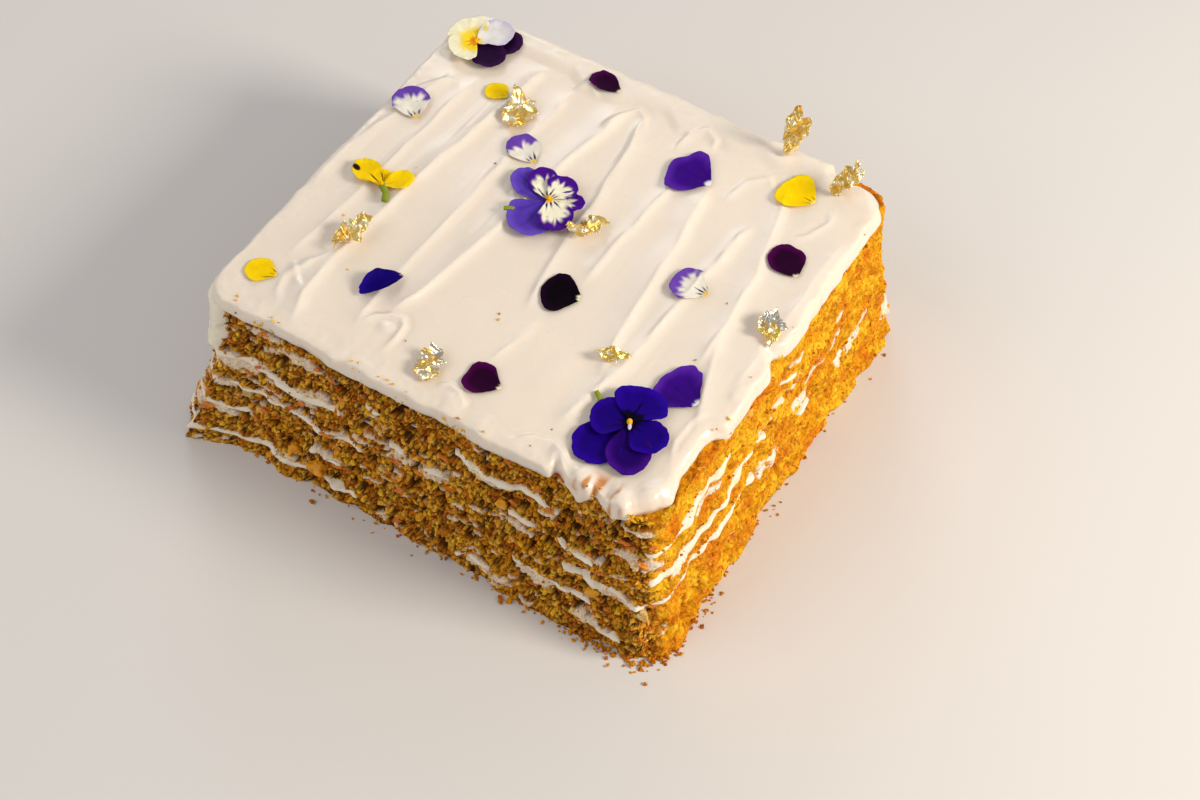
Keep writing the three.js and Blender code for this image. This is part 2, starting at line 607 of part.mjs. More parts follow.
// A whole viola: petals round a small eye, and its stem where it shows.
function violaGeometry({ petals, eye, stem }, seed) {
  const pieces = petals.map(([turn, long, wide, height], i) =>
    petalGeometry(long, wide, VIOLA_CUP, 0, seed + i * 1.7, VIOLA_SIDES)
      .rotateZ(radians(turn))
      .translate(0, 0, height),
  );
  const knob = new THREE.SphereGeometry(eye, 7, 5);
  pieces.push(knob.rotateX(Math.PI / 2).scale(1, 1, 1.3).translate(0, 0, eye));
  if (stem) {
    const extrudePath = new THREE.LineCurve3(new THREE.Vector3(...stem.from), new THREE.Vector3(...stem.to));
    const section = new THREE.Shape().absarc(0, 0, stem.radius, 0, 2 * Math.PI);
    const options = { extrudePath, steps: 2, curveSegments: 6, bevelEnabled: false };
    pieces.push(new THREE.ExtrudeGeometry(section, options));
  }
  return joined(pieces);
}

const material = (color, roughness, metalness) =>
  new THREE.MeshStandardMaterial({ color, roughness, metalness });
const finish = {
  sponge: material(0xb37a24, 0.95, 0),
  cream: material(0xf4eee2, 0.55, 0),
  icing: material(0xf2ebdf, 0.4, 0),
  gold: material(0xd9a441, 0.3, 1),
  violet: material(0x3f1aa8, 0.6, 0),
  plum: material(0x280a3c, 0.6, 0),
  lilac: material(0xb5a6d8, 0.6, 0),
  yellow: material(0xf0d415, 0.6, 0),
  pale: material(0xf1ecc0, 0.6, 0),
};
// The colour of each topping, by a word in its name.
const TINTS = {
  violet: "violet", front: "violet", blue: "violet", plum: "plum", black: "plum",
  lilac: "lilac", middle: "lilac", yellow: "yellow", back: "pale",
};
const finishOf = (name) => finish[TINTS[name.split("_")[1]]];

const cake = new THREE.Group();

function add(name, geometry, look) {
  const mesh = new THREE.Mesh(geometry, look);
  mesh.name = name;
  cake.add(mesh);
  return mesh;
}

// A topping lies on the icing, turned, leaned and lifted clear of the crests.
function lay(name, geometry, look, { x, y, turn = 0 }, tilt) {
  const mesh = add(name, geometry, look);
  mesh.applyMatrix4(settle(geometry, x, y, radians(turn), tilt));
}

CREAM_HEIGHTS.forEach((_, i) => add(`cream_${i + 1}`, creamGeometry(i), finish.cream));
[...CREAM_HEIGHTS, 0].forEach((_, i) => add(`sponge_${i + 1}`, spongeGeometry(i), finish.sponge));
add("icing", icingGeometry(), finish.icing);
add("smear", smearGeometry(), finish.icing);
PETALS.forEach((p, i) => {
  const geometry = petalGeometry(p.long, p.wide, p.cup, p.fold, i * 3.1);
  lay(p.name, geometry, finishOf(p.name), p, leanOf(p.x, p.y, radians(p.turn), p.long));
});
VIOLAS.forEach((v, i) => {
  lay(v.name, violaGeometry(v, i * 5.9), finishOf(v.name), v, new THREE.Matrix4());
});
GOLD.forEach((g, i) => {
  const tilt = new THREE.Matrix4().makeRotationX(radians(g.lean));
  lay(`gold_${i + 1}`, flakeGeometry(g, i + 1), finish.gold, g, tilt);
});

export default cake;
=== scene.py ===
"""The looks of a layered carrot cake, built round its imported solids.

Shapes are worked out in millimetres in the frame of the solids, from the same named values, and
become metres when a mesh is made.
"""

import itertools
import math

import bmesh
import bpy
import numpy as np
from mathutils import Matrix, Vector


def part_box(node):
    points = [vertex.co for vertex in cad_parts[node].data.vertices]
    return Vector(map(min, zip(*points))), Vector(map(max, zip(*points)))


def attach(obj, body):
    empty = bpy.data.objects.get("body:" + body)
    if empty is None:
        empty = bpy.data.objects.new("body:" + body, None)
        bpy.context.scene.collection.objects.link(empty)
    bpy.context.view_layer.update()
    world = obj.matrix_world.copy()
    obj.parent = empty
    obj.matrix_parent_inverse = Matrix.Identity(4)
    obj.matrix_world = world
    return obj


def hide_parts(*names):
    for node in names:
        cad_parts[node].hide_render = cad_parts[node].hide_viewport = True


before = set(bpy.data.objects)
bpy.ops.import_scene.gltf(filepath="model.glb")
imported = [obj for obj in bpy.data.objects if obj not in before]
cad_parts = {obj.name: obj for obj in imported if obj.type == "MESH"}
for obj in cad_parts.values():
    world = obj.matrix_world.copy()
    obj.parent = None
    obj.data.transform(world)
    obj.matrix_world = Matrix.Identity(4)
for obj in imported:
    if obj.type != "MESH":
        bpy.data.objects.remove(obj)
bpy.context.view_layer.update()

MM = 0.001
SEED = 7

# The block
WIDTH, DEPTH, CORNER = 160.0, 146.0, 8.0
FLARE = 7.5
FRONT_FLARE = 2.5
GAP = 0.3
SPONGE_TOP = 59.4
CREAM_HEIGHTS = (48.6, 37.0, 26.0, 16.0, 6.8)
CREAM_THICKNESS = (2.6, 2.3, 2.1, 1.9, 1.7)
CREAM_UNEVEN = 0.35
CREAM_TILTS = (-0.03, -0.045, -0.025, -0.01, 0.015)
LAYER_WAVE = 0.9
CRAG_LARGE, CRAG_SMALL = 1.5, 1.1
EDGE_CALM = 0.55
SHOULDER = 1.4
LAST_LAYER = len(CREAM_HEIGHTS)
# How far a layer's edges turn in beside a filling: the share of its height, and the top layer's turn.
TURN_SHARE = 0.09
TOP_TURN = 0.4
# How far inward each terrace of a layer's flat faces lies.
INNER_TERRACES = (3.0,)
TOP_TERRACES = (0.5, 1.0, 1.5, 2.0, 2.5, 3.0, 3.6, 4.4, 5.4, 7.0)
CORNER_BULGE = dict(x=-79, y=-72, reach=17, out=10)
SMEAR = dict(x=-80, y=-67, reach=14)
SMEAR_RISE = 5.0
SMEAR_THICK = 2.7
SMEAR_DEPTH = 2.4

# The icing
ICING_TOP = 65.2
ICING_SEAT = 8.0
ICING_BULGE = 0.35
ICING_RIM = 2.6
ICING_LIP = 0.9
ICING_SKIRT = 0.8
ROUNDING = ICING_TOP - 0.7
ICING_SEAT_HEIGHT = SPONGE_TOP + GAP
# Steps of the icing's rim between the knots of its curve.
RIM_STEPS = 6
# How much higher its edge is at the front, where the crumb stands up to it, and where that ends.
FRONT_LIFT = 2.9
FRONT_END = (68, 74)
# Lobes that hang down its side: place, hang, reach.
LOBES = (
    (54, -73, 3.6, 5.5), (65.5, -73, 3.4, 4), (-30, -73, 1.2, 9), (-80, 5, 2, 14), (-20, 73, 1.5, 12),
)
# Places where it stops short of the sponge's edge: place, inset, reach.
SHORTFALLS = (
    (80, -71, 3.8, 12), (80, -50, 2.4, 22), (80, -4, 1, 7), (72, 73, 2.6, 16), (47.5, -73, 1.6, 4.5),
    (60.5, -73, 1.0, 3),
)
SHORTFALL_SPREAD = 1.3
# Where the crumb stands up past the icing's edge: place, height, reach.
CRUSTS = ((72, 73, 4.4, 15), (48.5, -73, 3.0, 4.5), (80, -68, 1.4, 14))
# Ridges: height, width to the left and right, and places along the crest.
RIDGES = (
    (1.3, 2.6, 3.4, ((-79, -24), (-77, 0), (-73, 18), (-70, 32), (-67, 46))),
    (1.0, 4.0, 2.0, ((-66, -50), (-63, -20), (-62, 0), (-60.5, 25), (-60, 46))),
    (1.9, 4.5, 1.8, ((-49, -70), (-52.5, -59), (-53, -42), (-50, 0), (-42, 62))),
    (0.9, 1.5, 2.0, ((-61.5, -58), (-58, -48), (-54.5, -40))),
    (1.1, 3.5, 1.8, ((-33, -62), (-33, -36), (-31.5, 0), (-31, 30), (-29, 57))),
    (1.9, 4.5, 1.7, ((-27, -52), (-23, -42), (-17, -5), (-14, 30), (-9, 59))),
    (1.3, 1.8, 3.5, ((8, -29), (5.5, -16), (3.5, 0), (2.5, 22), (0, 42), (-3, 59))),
    (0.6, 2.0, 2.0, ((9, -52), (11.5, -42), (14, -28))),
    (1.2, 3.5, 1.8, ((17, -12), (17.5, 5), (18.5, 20), (20, 36), (22, 58))),
    (1.8, 5.0, 1.7, ((39, -38), (36.5, -20), (35, 0), (33, 22), (30, 44))),
    (1.5, 3.0, 1.8, ((38, -60), (41, -46), (44, -32), (46, 0), (49.5, 38))),
    (1.5, 4.0, 1.8, ((62, -20), (62, -4), (60, 20), (57, 34), (51, 58))),
    (1.0, 1.8, 3.5, ((73, -40), (69, -28), (65, -16), (62.5, -4))),
    (0.8, 4.0, 3.0, ((75, -22), (76, 10), (76, 46))),
)
RIDGE_FADE = 9
RIDGE_SHARE = 0.82
# Where crumb has stained the drips at the front corner.
STAIN = dict(x=60.5, y=-74.5, reach=11)
# A band along the back where the icing is higher.
BACK_BAND = dict(start=60, over=5, high=1.0)
# Thin curls where the spatula left the icing: height, width and places along the curl.
CURLS = (
    (1.0, 1.1, (
        (-33, -60), (-29, -54), (-25, -51.3), (-21.5, -50.8), (-19.5, -53), (-19, -58), (-20, -66),
    )),
    (0.6, 1.4, ((-58, -44), (-60, -50), (-62, -56), (-60, -62), (-56, -67))),
    (0.5, 1.0, ((-64, -50), (-60, -53), (-57, -56), (-53, -58))),
    (0.7, 1.0, ((0, -66), (4, -63.5), (8, -64), (11.5, -66.5), (12, -70))),
    (0.7, 1.1, ((29, -71), (35, -66), (41, -64.5), (46, -67), (47, -71))),
    (0.6, 1.0, ((-31, 58), (-26, 62), (-20, 58))),
    (0.7, 1.2, ((-13, 46), (-10, 56), (-7, 61), (-3, 59), (0, 52))),
    (0.7, 1.2, ((12, 50), (13, 60), (17, 64.5), (21.5, 62), (23, 54))),
    (0.6, 1.3, ((36, 40), (39, 52), (44, 57), (49, 52))),
    (0.6, 1.1, ((61, 36), (66, 42), (69, 50), (67, 58))),
    (0.5, 0.9, ((74, -30), (70.5, -38), (70, -46), (73, -54))),
    (0.6, 1.2, ((-77, 26), (-72, 34), (-66, 40), (-61, 38))),
)
# Dabs of icing that stand up a little, and one dip: place, half sizes and height.
BLOBS = (
    (45, -67, 3.4, 3.0, 0.9), (75, -65, 4.4, 5.0, 1.3), (54, -70, 3.2, 3.4, 1.2),
    (67, -70, 2.4, 3.4, 0.9), (61, -70, 2.6, 3.0, -0.8), (8.5, -67.5, 3.0, 2.6, 0.6),
    (-24, -56, 2.6, 1.8, 0.6), (77, -22, 2.0, 3.4, 0.6),
)

# The fine bump of the materials, and how far light goes into them, in metres.
BUMP_DISTANCE = 0.0003
SUBSURFACE_RADIUS = (0.004, 0.0025, 0.0015)

# Fineness of the meshes
SIDE_STEP = 0.36
ICING_STEP = 0.56

# Where a filling shows on each side: filling, from, to, how fully.
SHOWN = {
    "front": (
        (0, -50, -36, 0.35), (0, -22, -12, 0.45), (0, 10, 48, 0.7), (0, 60, 84, 0.3), (1, -84, -29, 1.0),
        (1, -13, -4, 0.5), (1, 1, 8, 0.6), (1, 30, 40, 0.6), (1, 47, 60, 0.6), (2, -82, -22, 0.95),
        (2, 49, 84, 0.85), (3, -86, -62, 0.9), (3, -40, -24, 0.5), (3, 31, 58, 0.8), (4, -86, -20, 0.8),
        (4, 12, 34, 0.5), (4, 54, 66, 0.7),
    ),
    "right": (
        (0, -84, -29, 1.0), (0, -2, 8, 0.4), (1, -84, -17, 0.85), (1, -15, -9, 0.6), (1, -4, 3, 0.4),
        (2, -84, -17, 0.9), (2, -11, -5, 0.7), (2, 7, 17, 0.8), (2, 31, 38, 0.6), (3, 62, 72, 0.6),
    ),
}
# Cream dragged over the crumb of each side: place along it, height, half sizes.
DABS = {
    "front": (
        (-66, 39, 12, 2.6), (-38, 40, 8, 1.8), (-7, 36, 4, 2.4), (4, 35, 3.6, 2.6), (34, 33.5, 5, 1.8),
        (71, 42, 4, 2.0), (44, 44.5, 3.4, 1.4), (-50, 29.5, 9, 2.2), (-28, 28.8, 7, 2.0),
        (-70, 27.5, 7, 1.6), (-72, 15.5, 8, 1.8), (-82, 14, 5, 4.5), (-32, 18.5, 6, 1.6),
        (-58, 57, 6, 2.0), (-42, 54, 9, 2.0), (24, 46.5, 12, 1.2), (65, 24, 10, 1.5), (40, 14, 8, 2.0),
        (57, 9, 5, 2.2), (-48, 6.5, 9, 1.5), (23, 6.5, 8, 1.6), (83, 12, 5, 4.5),
    ),
    "right": (
        (66, 14, 4.5, 4.5), (48, 27, 4, 2.0), (37, 42, 3.4, 1.4), (45, 20, 6, 2.4), (34, 22.5, 3.4, 1.6),
        (33, 33, 4, 1.4), (21, 31, 4.5, 1.8), (12, 27.5, 4.5, 2.4), (7, 41, 4, 1.2), (8, 51, 4, 1.0),
        (-1, 40, 4, 1.2), (-12, 38, 5, 1.3), (-8, 22, 3.4, 2.2), (-14, 23, 3, 1.8), (-50, 47, 9, 1.6),
        (-72, 41, 5, 2.8), (-60, 33, 8, 2.0), (-44, 42.5, 8, 1.2), (-62, 25.5, 9, 1.4), (-76, 12, 4, 3.2),
    ),
    "left": (
        (-72, 14, 6, 5), (-64, 12, 8, 4.0), (-68, 29, 5, 3.0), (-30, 39, 12, 1.8), (12, 27, 14, 1.6),
        (40, 50, 12, 1.6), (55, 15, 9, 1.8),
    ),
    "back": (
        (-50, 38, 14, 1.6), (5, 48, 12, 1.5), (40, 25, 16, 1.7), (20, 15, 10, 1.6),
    ),
}
# Hollows where crumb has broken away: place along the side, height, half sizes, depth.
HOLLOWS = {
    "front": (
        (25, 43, 6.5, 2.2, 3.4), (46, 32.5, 4.2, 2.6, 3.0), (-5, 45, 3.5, 2.0, 2.4),
        (61, 38, 3.2, 2.0, 2.2), (16, 19, 4.0, 2.0, 2.0), (-42, 33.5, 3.0, 2.0, 1.8),
        (3, 52, 3.4, 1.8, 1.8), (-24, 17.5, 3.6, 2.0, 1.8), (31, 29.5, 3.0, 2.4, 2.2),
        (49, 57, 2.0, 3.0, 1.8),
    ),
    "right": (
        (-9, 45, 1.4, 5.0, 1.8), (-59, 10, 2.0, 4.5, 1.6), (-73, 44, 2.2, 2.0, 1.4),
    ),
    "left": (
        (-20, 44, 5.0, 2.0, 2.4), (30, 33, 4.0, 2.0, 2.2),
    ),
    "back": (
        (20, 41, 5.0, 2.0, 1.8),
    ),
}
# Lumps of candied fruit and nut at the sides: side, place, height, half sizes, kind.
LUMPS = (
    ("front", -34.5, 11.7, 3.6, 2.8, 3.2, "fruit"), ("front", -63.5, 25, 1.9, 1.8, 3.4, "nut"),
    ("front", -44, 12.5, 1.8, 1.8, 2.2, "fruit"), ("front", 15, 20, 2.4, 1.5, 1.6, "nut"),
    ("front", 28, 37.5, 1.8, 1.4, 1.6, "fruit"), ("front", 58, 18.5, 2.6, 1.6, 1.6, "fruit"),
    ("front", 74, 20, 2.0, 1.5, 1.8, "nut"), ("front", -12, 26.5, 1.9, 1.4, 1.4, "nut"),
    ("right", -20, 55, 2.6, 1.0, 1.6, "fruit"), ("left", 0, 22, 3.2, 1.2, 2.2, "fruit"),
    ("left", -45, 18, 3.0, 1.2, 2.0, "nut"),
)
SIDES = {"front": (0, -1), "right": (1, 0), "back": (0, 1), "left": (-1, 0)}

# The toppings

# Corners and notches of the loose petals: turn from the tip, how far out, and how wide, in degrees.
CORNERS = {
    "lilac_back": ((-38, 0.12, 14), (30, 0.08, 20)), "lilac_left": ((20, 0.05, 30),),
    "lilac_right": ((35, 0.08, 22), (-50, 0.07, 16)), "yellow_left": ((-30, 0.05, 25),),
    "yellow_right": ((-58, 0.1, 22), (52, 0.12, 22), (0, -0.08, 30)),
    "plum_back": ((-50, 0.14, 14), (48, 0.12, 16)), "plum_right": ((-28, 0.08, 12),),
    "plum_front": ((-44, 0.12, 18), (40, 0.1, 22), (0, -0.06, 30)),
    "black": ((-62, 0.1, 14), (70, 0.05, 20), (178, -0.16, 9)), "blue_curled": ((0, 0.05, 20),),
    "violet_front": ((-62, 0.14, 16), (58, 0.13, 20), (15, -0.05, 30)),
    "violet_right": ((-68, 0.12, 14), (64, 0.1, 18), (-12, 0.1, 12), (-40, -0.08, 14)),
}
# Loose petals: place of the claw, direction, length, width, cup, fold and kind.
PETALS = (
    ("lilac_back", -22.6, 22.6, 152, 13, 11, 1.2, 0.3, "lilac"),
    ("lilac_left", -65.5, 18.5, 139, 14.5, 12.5, 1.6, 0.6, "lilac"),
    ("lilac_right", 51.5, 4.5, 178, 12, 13, 1.6, 0.4, "lilac"),
    ("yellow_back", -45.5, 42, 168, 9.5, 8, 0.8, 0.2, "yellow"),
    ("yellow_left", -63.5, -57.5, 188, 10.5, 9.5, 0.6, 0.2, "yellow_veined"),
    ("yellow_right", 61.5, 54.5, 172, 13, 15, 1.4, 1.0, "yellow_veined"),
    ("plum_back", -15.5, 63.5, 168, 12.5, 8, 0.6, 1.4, "plum"),
    ("plum_front", 17.8, -57, 180, 12, 11.5, 0.8, 0.8, "plum"),
    ("plum_right", 71, 25, 143, 13.5, 12, 1.0, 0.4, "plum"),
    ("black", 19.8, -16.5, 193, 12.5, 14.5, 0.8, 0.2, "black"),
    ("blue_curled", -30.5, -37, 241, 14.5, 8.5, 0.6, 3.4, "blue"),
    ("violet_front", 69.5, -32.5, 163, 14.5, 17.5, 2.0, 0.6, "violet"),
    ("violet_right", 30, 44, 176, 15, 18.5, 1.8, 0.8, "violet"),
)
# Whole violas: place and size of the eye, and petals from the lowest up, each with direction,
# length, width, height and kind. Then the stem's ends and radius, where it shows.
VIOLAS = (
    ("front", 56.5, -48.5, 1.7, (
        (245, 19, 14.8, 0, "deep"), (300, 17.5, 13.8, 0.8, "deep_back"), (190, 11.9, 13.4, 1.6, "deep"),
        (348, 12.8, 12.4, 1.6, "deep"), (92, 12.8, 17.1, 2.4, "deep_lip"),
    ), ((-10.5, 0, 0.9), (-14, 4.5, 1.6), 0.75)),
    ("middle", -9, 10.5, 1.4, (
        (162, 17, 11.6, 0, "back_violet"), (262, 16, 16.4, 0, "back_violet"),
        (135, 13.8, 10.2, 0.8, "face"), (22, 11.2, 8.4, 0.8, "face"), (78, 10.7, 11.2, 1.6, "face"),
        (318, 13.8, 11.6, 1.6, "face"),
    ), ((-7.5, -9, 0.3), (-10, -10.4, 0.9), 0.8)),
    ("back", -68.5, 57.5, 1.5, (
        (36, 15.5, 13, 0, "dusk"), (340, 13, 12, 0.7, "dusk"), (148, 12, 15, 1.5, "pale_yellow"),
        (66, 14, 13, 1.5, "pale"), (248, 9.5, 14, 2.3, "pale_yellow"),
    ), None),
    ("yellow", -57, -12, 1.3, (
        (161, 14, 9, 0.8, "yellow_spot"), (52, 10.5, 8, 0.8, "yellow"), (120, 7, 6, 0, "yellow_veined"),
    ), ((0, 0, 1), (4.6, -5, 1), 1.1)),
)
VIOLA_CUP = 0.9
PETAL_THICK = 0.34
PETAL_SIDES, PETAL_ROWS = 96, 20
STEM_SIDES = 12
VIOLA_SLOTS = {
    "front": "petal_violet", "middle": "petal_lilac", "back": "petal_pale", "yellow": "petal_yellow",
}
# The slot of a loose petal, by the first word of its name.
PETAL_SLOTS = {
    "lilac": "petal_lilac", "yellow": "petal_yellow", "plum": "petal_plum", "black": "petal_plum",
    "blue": "petal_violet", "violet": "petal_violet",
}
# For each kind: the body, the far edge, the claw, the veins, and how far these reach.
KINDS = {
    "violet": ((54, 6, 124), (84, 34, 160), (232, 224, 232), (38, 8, 100), 0.75, 0.10),
    "blue": ((18, 0, 104), (28, 6, 132), (240, 232, 190), (10, 2, 70), 0.7, 0.07),
    "deep": ((26, 0, 112), (38, 2, 140), (14, 0, 46), (10, 0, 38), 0.62, 0.22),
    "deep_back": ((32, 0, 92), (64, 12, 128), (14, 0, 46), (22, 0, 70), 0.5, 0.16),
    "deep_lip": ((28, 0, 120), (40, 4, 150), (6, 0, 26), (6, 0, 26), 0.66, 0.30),
    "plum": ((38, 0, 36), (74, 0, 70), (240, 232, 196), (34, 0, 40), 0.8, 0.10),
    "black": ((6, 0, 6), (24, 0, 26), (240, 234, 200), (10, 0, 14), 0.8, 0.09),
    "dusk": ((34, 6, 44), (52, 14, 64), (26, 4, 40), (20, 2, 30), 0.6, 0.10),
    "yellow": ((246, 206, 6), (250, 216, 20), (226, 214, 70), (226, 176, 4), 0.5, 0.14),
    "yellow_veined": ((248, 206, 4), (252, 216, 14), (240, 224, 110), (84, 46, 8), 0.46, 0.08),
    "yellow_spot": ((246, 204, 6), (250, 214, 18), (218, 190, 30), (90, 52, 10), 0.5, 0.10),
    "pale": ((228, 224, 222), (206, 200, 222), (236, 214, 120), (216, 208, 214), 0.4, 0.16),
    "pale_yellow": ((252, 218, 48), (246, 240, 206), (236, 150, 10), (206, 120, 10), 0.5, 0.24),
    "lilac": ((232, 226, 212), (106, 66, 172), (244, 196, 60), (40, 12, 76), 0.42, 0.11),
    "face": ((242, 236, 208), (72, 14, 136), (240, 180, 40), (34, 8, 76), 0.5, 0.12),
    "back_violet": ((84, 54, 168), (104, 76, 188), (64, 34, 140), (62, 34, 146), 0.9, 0.1),
}
RIMMED = ("lilac", "face")
# Gold leaf: place, half sizes, turn, lean, how far it is crumpled.
GOLD = (
    (-38.6, 38.5, 5.5, 8, 20, 8, 1.1), (-53, -33.5, 4.6, 7.6, -20, 14, 1.2),
    (7.2, 7, 3.8, 5.8, -38, 6, 0.9), (-4.5, -61, 4, 5.6, 35, 8, 0.9),
    (40, -30.5, 4.4, 2.7, 25, 6, 0.7), (74, 3, 4, 6, 20, 12, 1.1),
    (45, 70.5, 4.2, 7.8, 12, 76, 1.1), (67.4, 64.5, 3.6, 6.4, -30, 44, 0.8),
)
# A flake's corners, and the points and rows of its mesh.
GOLD_SIDES, GOLD_POINTS, GOLD_ROWS = 9, 126, 22
GOLD_THICK = 0.1
CREASES = 4
# Flakes that lean less than this, in degrees, lie on the icing.
GOLD_LYING = 40
# The flakes whose folds show a silvery back.
SILVERED = (4, 6)
# Crumbs and bits of carrot on the icing: place, and 1 for carrot.
SPECKS = (
    (58, 5, 1), (-33, 16, 1), (-47, -44, 0), (2, -34, 1), (3, -36, 0), (60.5, -18, 1), (-16, -57, 1),
    (-69, -70, 0), (-68.5, -71.5, 0), (-55, -71, 0), (-54, -72, 0), (-52, -71.5, 0), (-25, -71.5, 0),
    (-23, -71, 0), (-15, -72, 0), (-12, -71.5, 0), (-10, -72, 0), (-5, -72, 0), (13, -72, 1), (22, -72, 0),
    (36, -69, 1), (79, -31, 0), (78, -36, 1), (77.5, -15, 0), (79, 8, 0), (57, -72, 1), (60, -70.5, 1),
    (-53, 1, 0), (-61, -27, 0), (38, -61, 1), (45, -60, 0),
)

# The stage, in metres: the sky, the floor and the lamps.
SKY = (0.97, 0.97, 1.0, 1)
SKY_STRENGTH = 0.38
FLOOR_COLOUR = (0.72, 0.69, 0.66, 1)
FLOOR_ROUGHNESS = 0.7
FLOOR_HALF = 2
LAMPS = {
    "key": dict(at=(0.86, 0.2, 0.6), target=(0, 0, 0.03), size=0.3, power=9.3, colour=(1.0, 0.92, 0.8)),
    "fill": dict(at=(-0.5, -0.7, 0.9), target=(0, 0, 0.03), size=0.9, power=3.8, colour=(1.0, 0.97, 0.93)),
    "window": dict(at=(-0.62, 0.8, 0.62), target=(0, 0, 0.05), size=0.4, power=1.9,
                   colour=(0.95, 0.97, 1.0)),
}
# The camera: its place, and how far it looks down and turns, in degrees.
CAMERA_PLACE = (0.2063, -0.3047, 0.4880)
CAMERA_DOWN = 54.09
CAMERA_TURN = 31.95
SENSOR_WIDTH = 36
LENS = 54.2


def linear(*code):
    """A colour given as it looks on a screen, 0 to 255, as light."""
    c = np.array(code, float) / 255
    return np.where(c <= 0.04045, c / 12.92, ((c + 0.055) / 1.055) ** 2.4)


def smooth(x, low, high):
    """A smooth step from 0 at low to 1 at high."""
    t = np.clip((x - low) / (high - low), 0, 1)
    return t * t * (3 - 2 * t)


def hashed(i, j, k, seed):
    """A number from 0 to 1 for each place on a grid, without order but the same each time."""
    s = np.sin(i * 127.1 + j * 311.7 + k * 74.7 + seed * 19.3) * 43758.5453
    return s - np.floor(s)


def noise(x, y, z, seed):
    """Smooth noise from -1 to 1 in space, with one swell for each unit."""
    x, y, z = np.broadcast_arrays(*(np.asarray(v, float) for v in (x, y, z)))
    i, j, k = np.floor(x), np.floor(y), np.floor(z)
    u, v, w = (t * t * (3 - 2 * t) for t in (x - i, y - j, z - k))
    total = 0
    for a, b, c in itertools.product((0, 1), repeat=3):
        share = (u if a else 1 - u) * (v if b else 1 - v) * (w if c else 1 - w)
        total = total + share * hashed(i + a, j + b, k + c, seed)
    return 2 * total - 1


def cells(x, y, z, size, seed):
    """Distance to the nearest and the next of points strewn in space, and the nearest one's number."""
    x, y, z = np.broadcast_arrays(*(np.asarray(v, float) / size for v in (x, y, z)))
    i, j, k = np.floor(x), np.floor(y), np.floor(z)
    first = np.full(x.shape, 9.0)
    second = np.full(x.shape, 9.0)
    number = np.zeros(x.shape)
    for a, b, c in itertools.product((-1, 0, 1), repeat=3):
        p, q, r = i + a, j + b, k + c
        away = np.sqrt(
            (p + hashed(p, q, r, seed) - x) ** 2
            + (q + hashed(p, q, r, seed + 1) - y) ** 2
            + (r + hashed(p, q, r, seed + 2) - z) ** 2
        )
        nearer = away < first
        second = np.where(nearer, first, np.minimum(second, away))
        number = np.where(nearer, hashed(p, q, r, seed + 3), number)
        first = np.where(nearer, away, first)
    return first, second, number


def hump(x, y, cx, cy, reach):
    """A round hump of height 1 that ends at its reach."""
    t = np.clip(np.hypot(x - cx, y - cy) / reach, 0, 1)
    return (1 - t * t) ** 2


class Ring:
    """Stations round the block: rays from its middle, their reach to the outline, and the normal.

    The outline has rounded corners, and square is the reach to the same outline without them.
    """

    def __init__(self, turn):
        w, d, r = WIDTH / 2, DEPTH / 2, CORNER
        ux, uy = np.cos(turn), np.sin(turn)
        ax, ay = np.abs(ux), np.abs(uy)
        flat = np.minimum(w / np.maximum(ax, 1e-9), d / np.maximum(ay, 1e-9))
        end = w * ay <= d * ax
        bend = (ax * flat > w - r) & (ay * flat > d - r)
        dot = ax * (w - r) + ay * (d - r)
        inside = np.maximum(dot**2 - (w - r) ** 2 - (d - r) ** 2 + r**2, 0)
        self.reach = np.where(bend, dot + np.sqrt(inside), flat)
        self.square = flat
        nx = np.where(bend, (ax * self.reach - w + r) / r, end)
        ny = np.where(bend, (ay * self.reach - d + r) / r, ~end)
        self.ux, self.uy = ux, uy
        self.nx, self.ny = nx * np.sign(ux), ny * np.sign(uy)
        self.stretch = 1 / (ux * self.nx + uy * self.ny)
        self.x, self.y = ux * self.reach, uy * self.reach

    @classmethod
    def even(cls, step):
        """Stations at even steps along the outline."""
        turn = np.linspace(0, 2 * math.pi, 20001)
        fine = cls(turn)
        length = np.concatenate([[0], np.cumsum(np.hypot(np.diff(fine.x), np.diff(fine.y)))])
        count = int(round(length[-1] / step))
        return cls(np.interp(np.arange(count) / count * length[-1], length, turn))

    def out(self, by, z):
        """Points at a height, moved out past the outline."""
        reach = self.reach + by * self.stretch
        return np.stack(np.broadcast_arrays(self.ux * reach, self.uy * reach, z), -1)

    def noise(self, size, z, seed):
        """Noise at the stations, with swells of a size along and across."""
        return noise(self.x / size, self.y / size, z, seed)

    def facing(self, side):
        """1 where the outline faces a side, 0 where it runs across."""
        nx, ny = SIDES[side]
        return self.nx * nx + self.ny * ny

    def along(self, side):
        """Place of the stations along a side."""
        return self.x if side in ("front", "back") else self.y


def flare_at(y):
    """How far the foot stands out, a little more at the front."""
    return FLARE + FRONT_FLARE * smooth(-y, 55, 72)


def side_offset(x, y, z):
    """How far the rough side stands out past the outline at a height."""
    foot = np.clip(1 - z / SPONGE_TOP, 0, 1)
    crag = CRAG_LARGE * noise(x / 9, y / 9, z / 7, 1) + CRAG_SMALL * noise(x / 4.5, y / 4.5, z / 4, 2)
    b = CORNER_BULGE
    bulge = b["out"] * hump(x, y, b["x"], b["y"], b["reach"]) * foot**2
    under_smear = 1 - 0.75 * hump(x, y, SMEAR["x"], SMEAR["y"], SMEAR["reach"]) * smooth(z, 30, 40)
    near_edge = 1 - EDGE_CALM * smooth(z, 46, 58)
    return flare_at(y) * foot**1.3 + bulge + crag * under_smear * near_edge


def coarse(ring):
    """How coarse the crumb of a side is: coarse on the front and left, finer on the others."""
    return smooth(-0.8 * ring.nx - ring.ny, -0.3, 0.7)


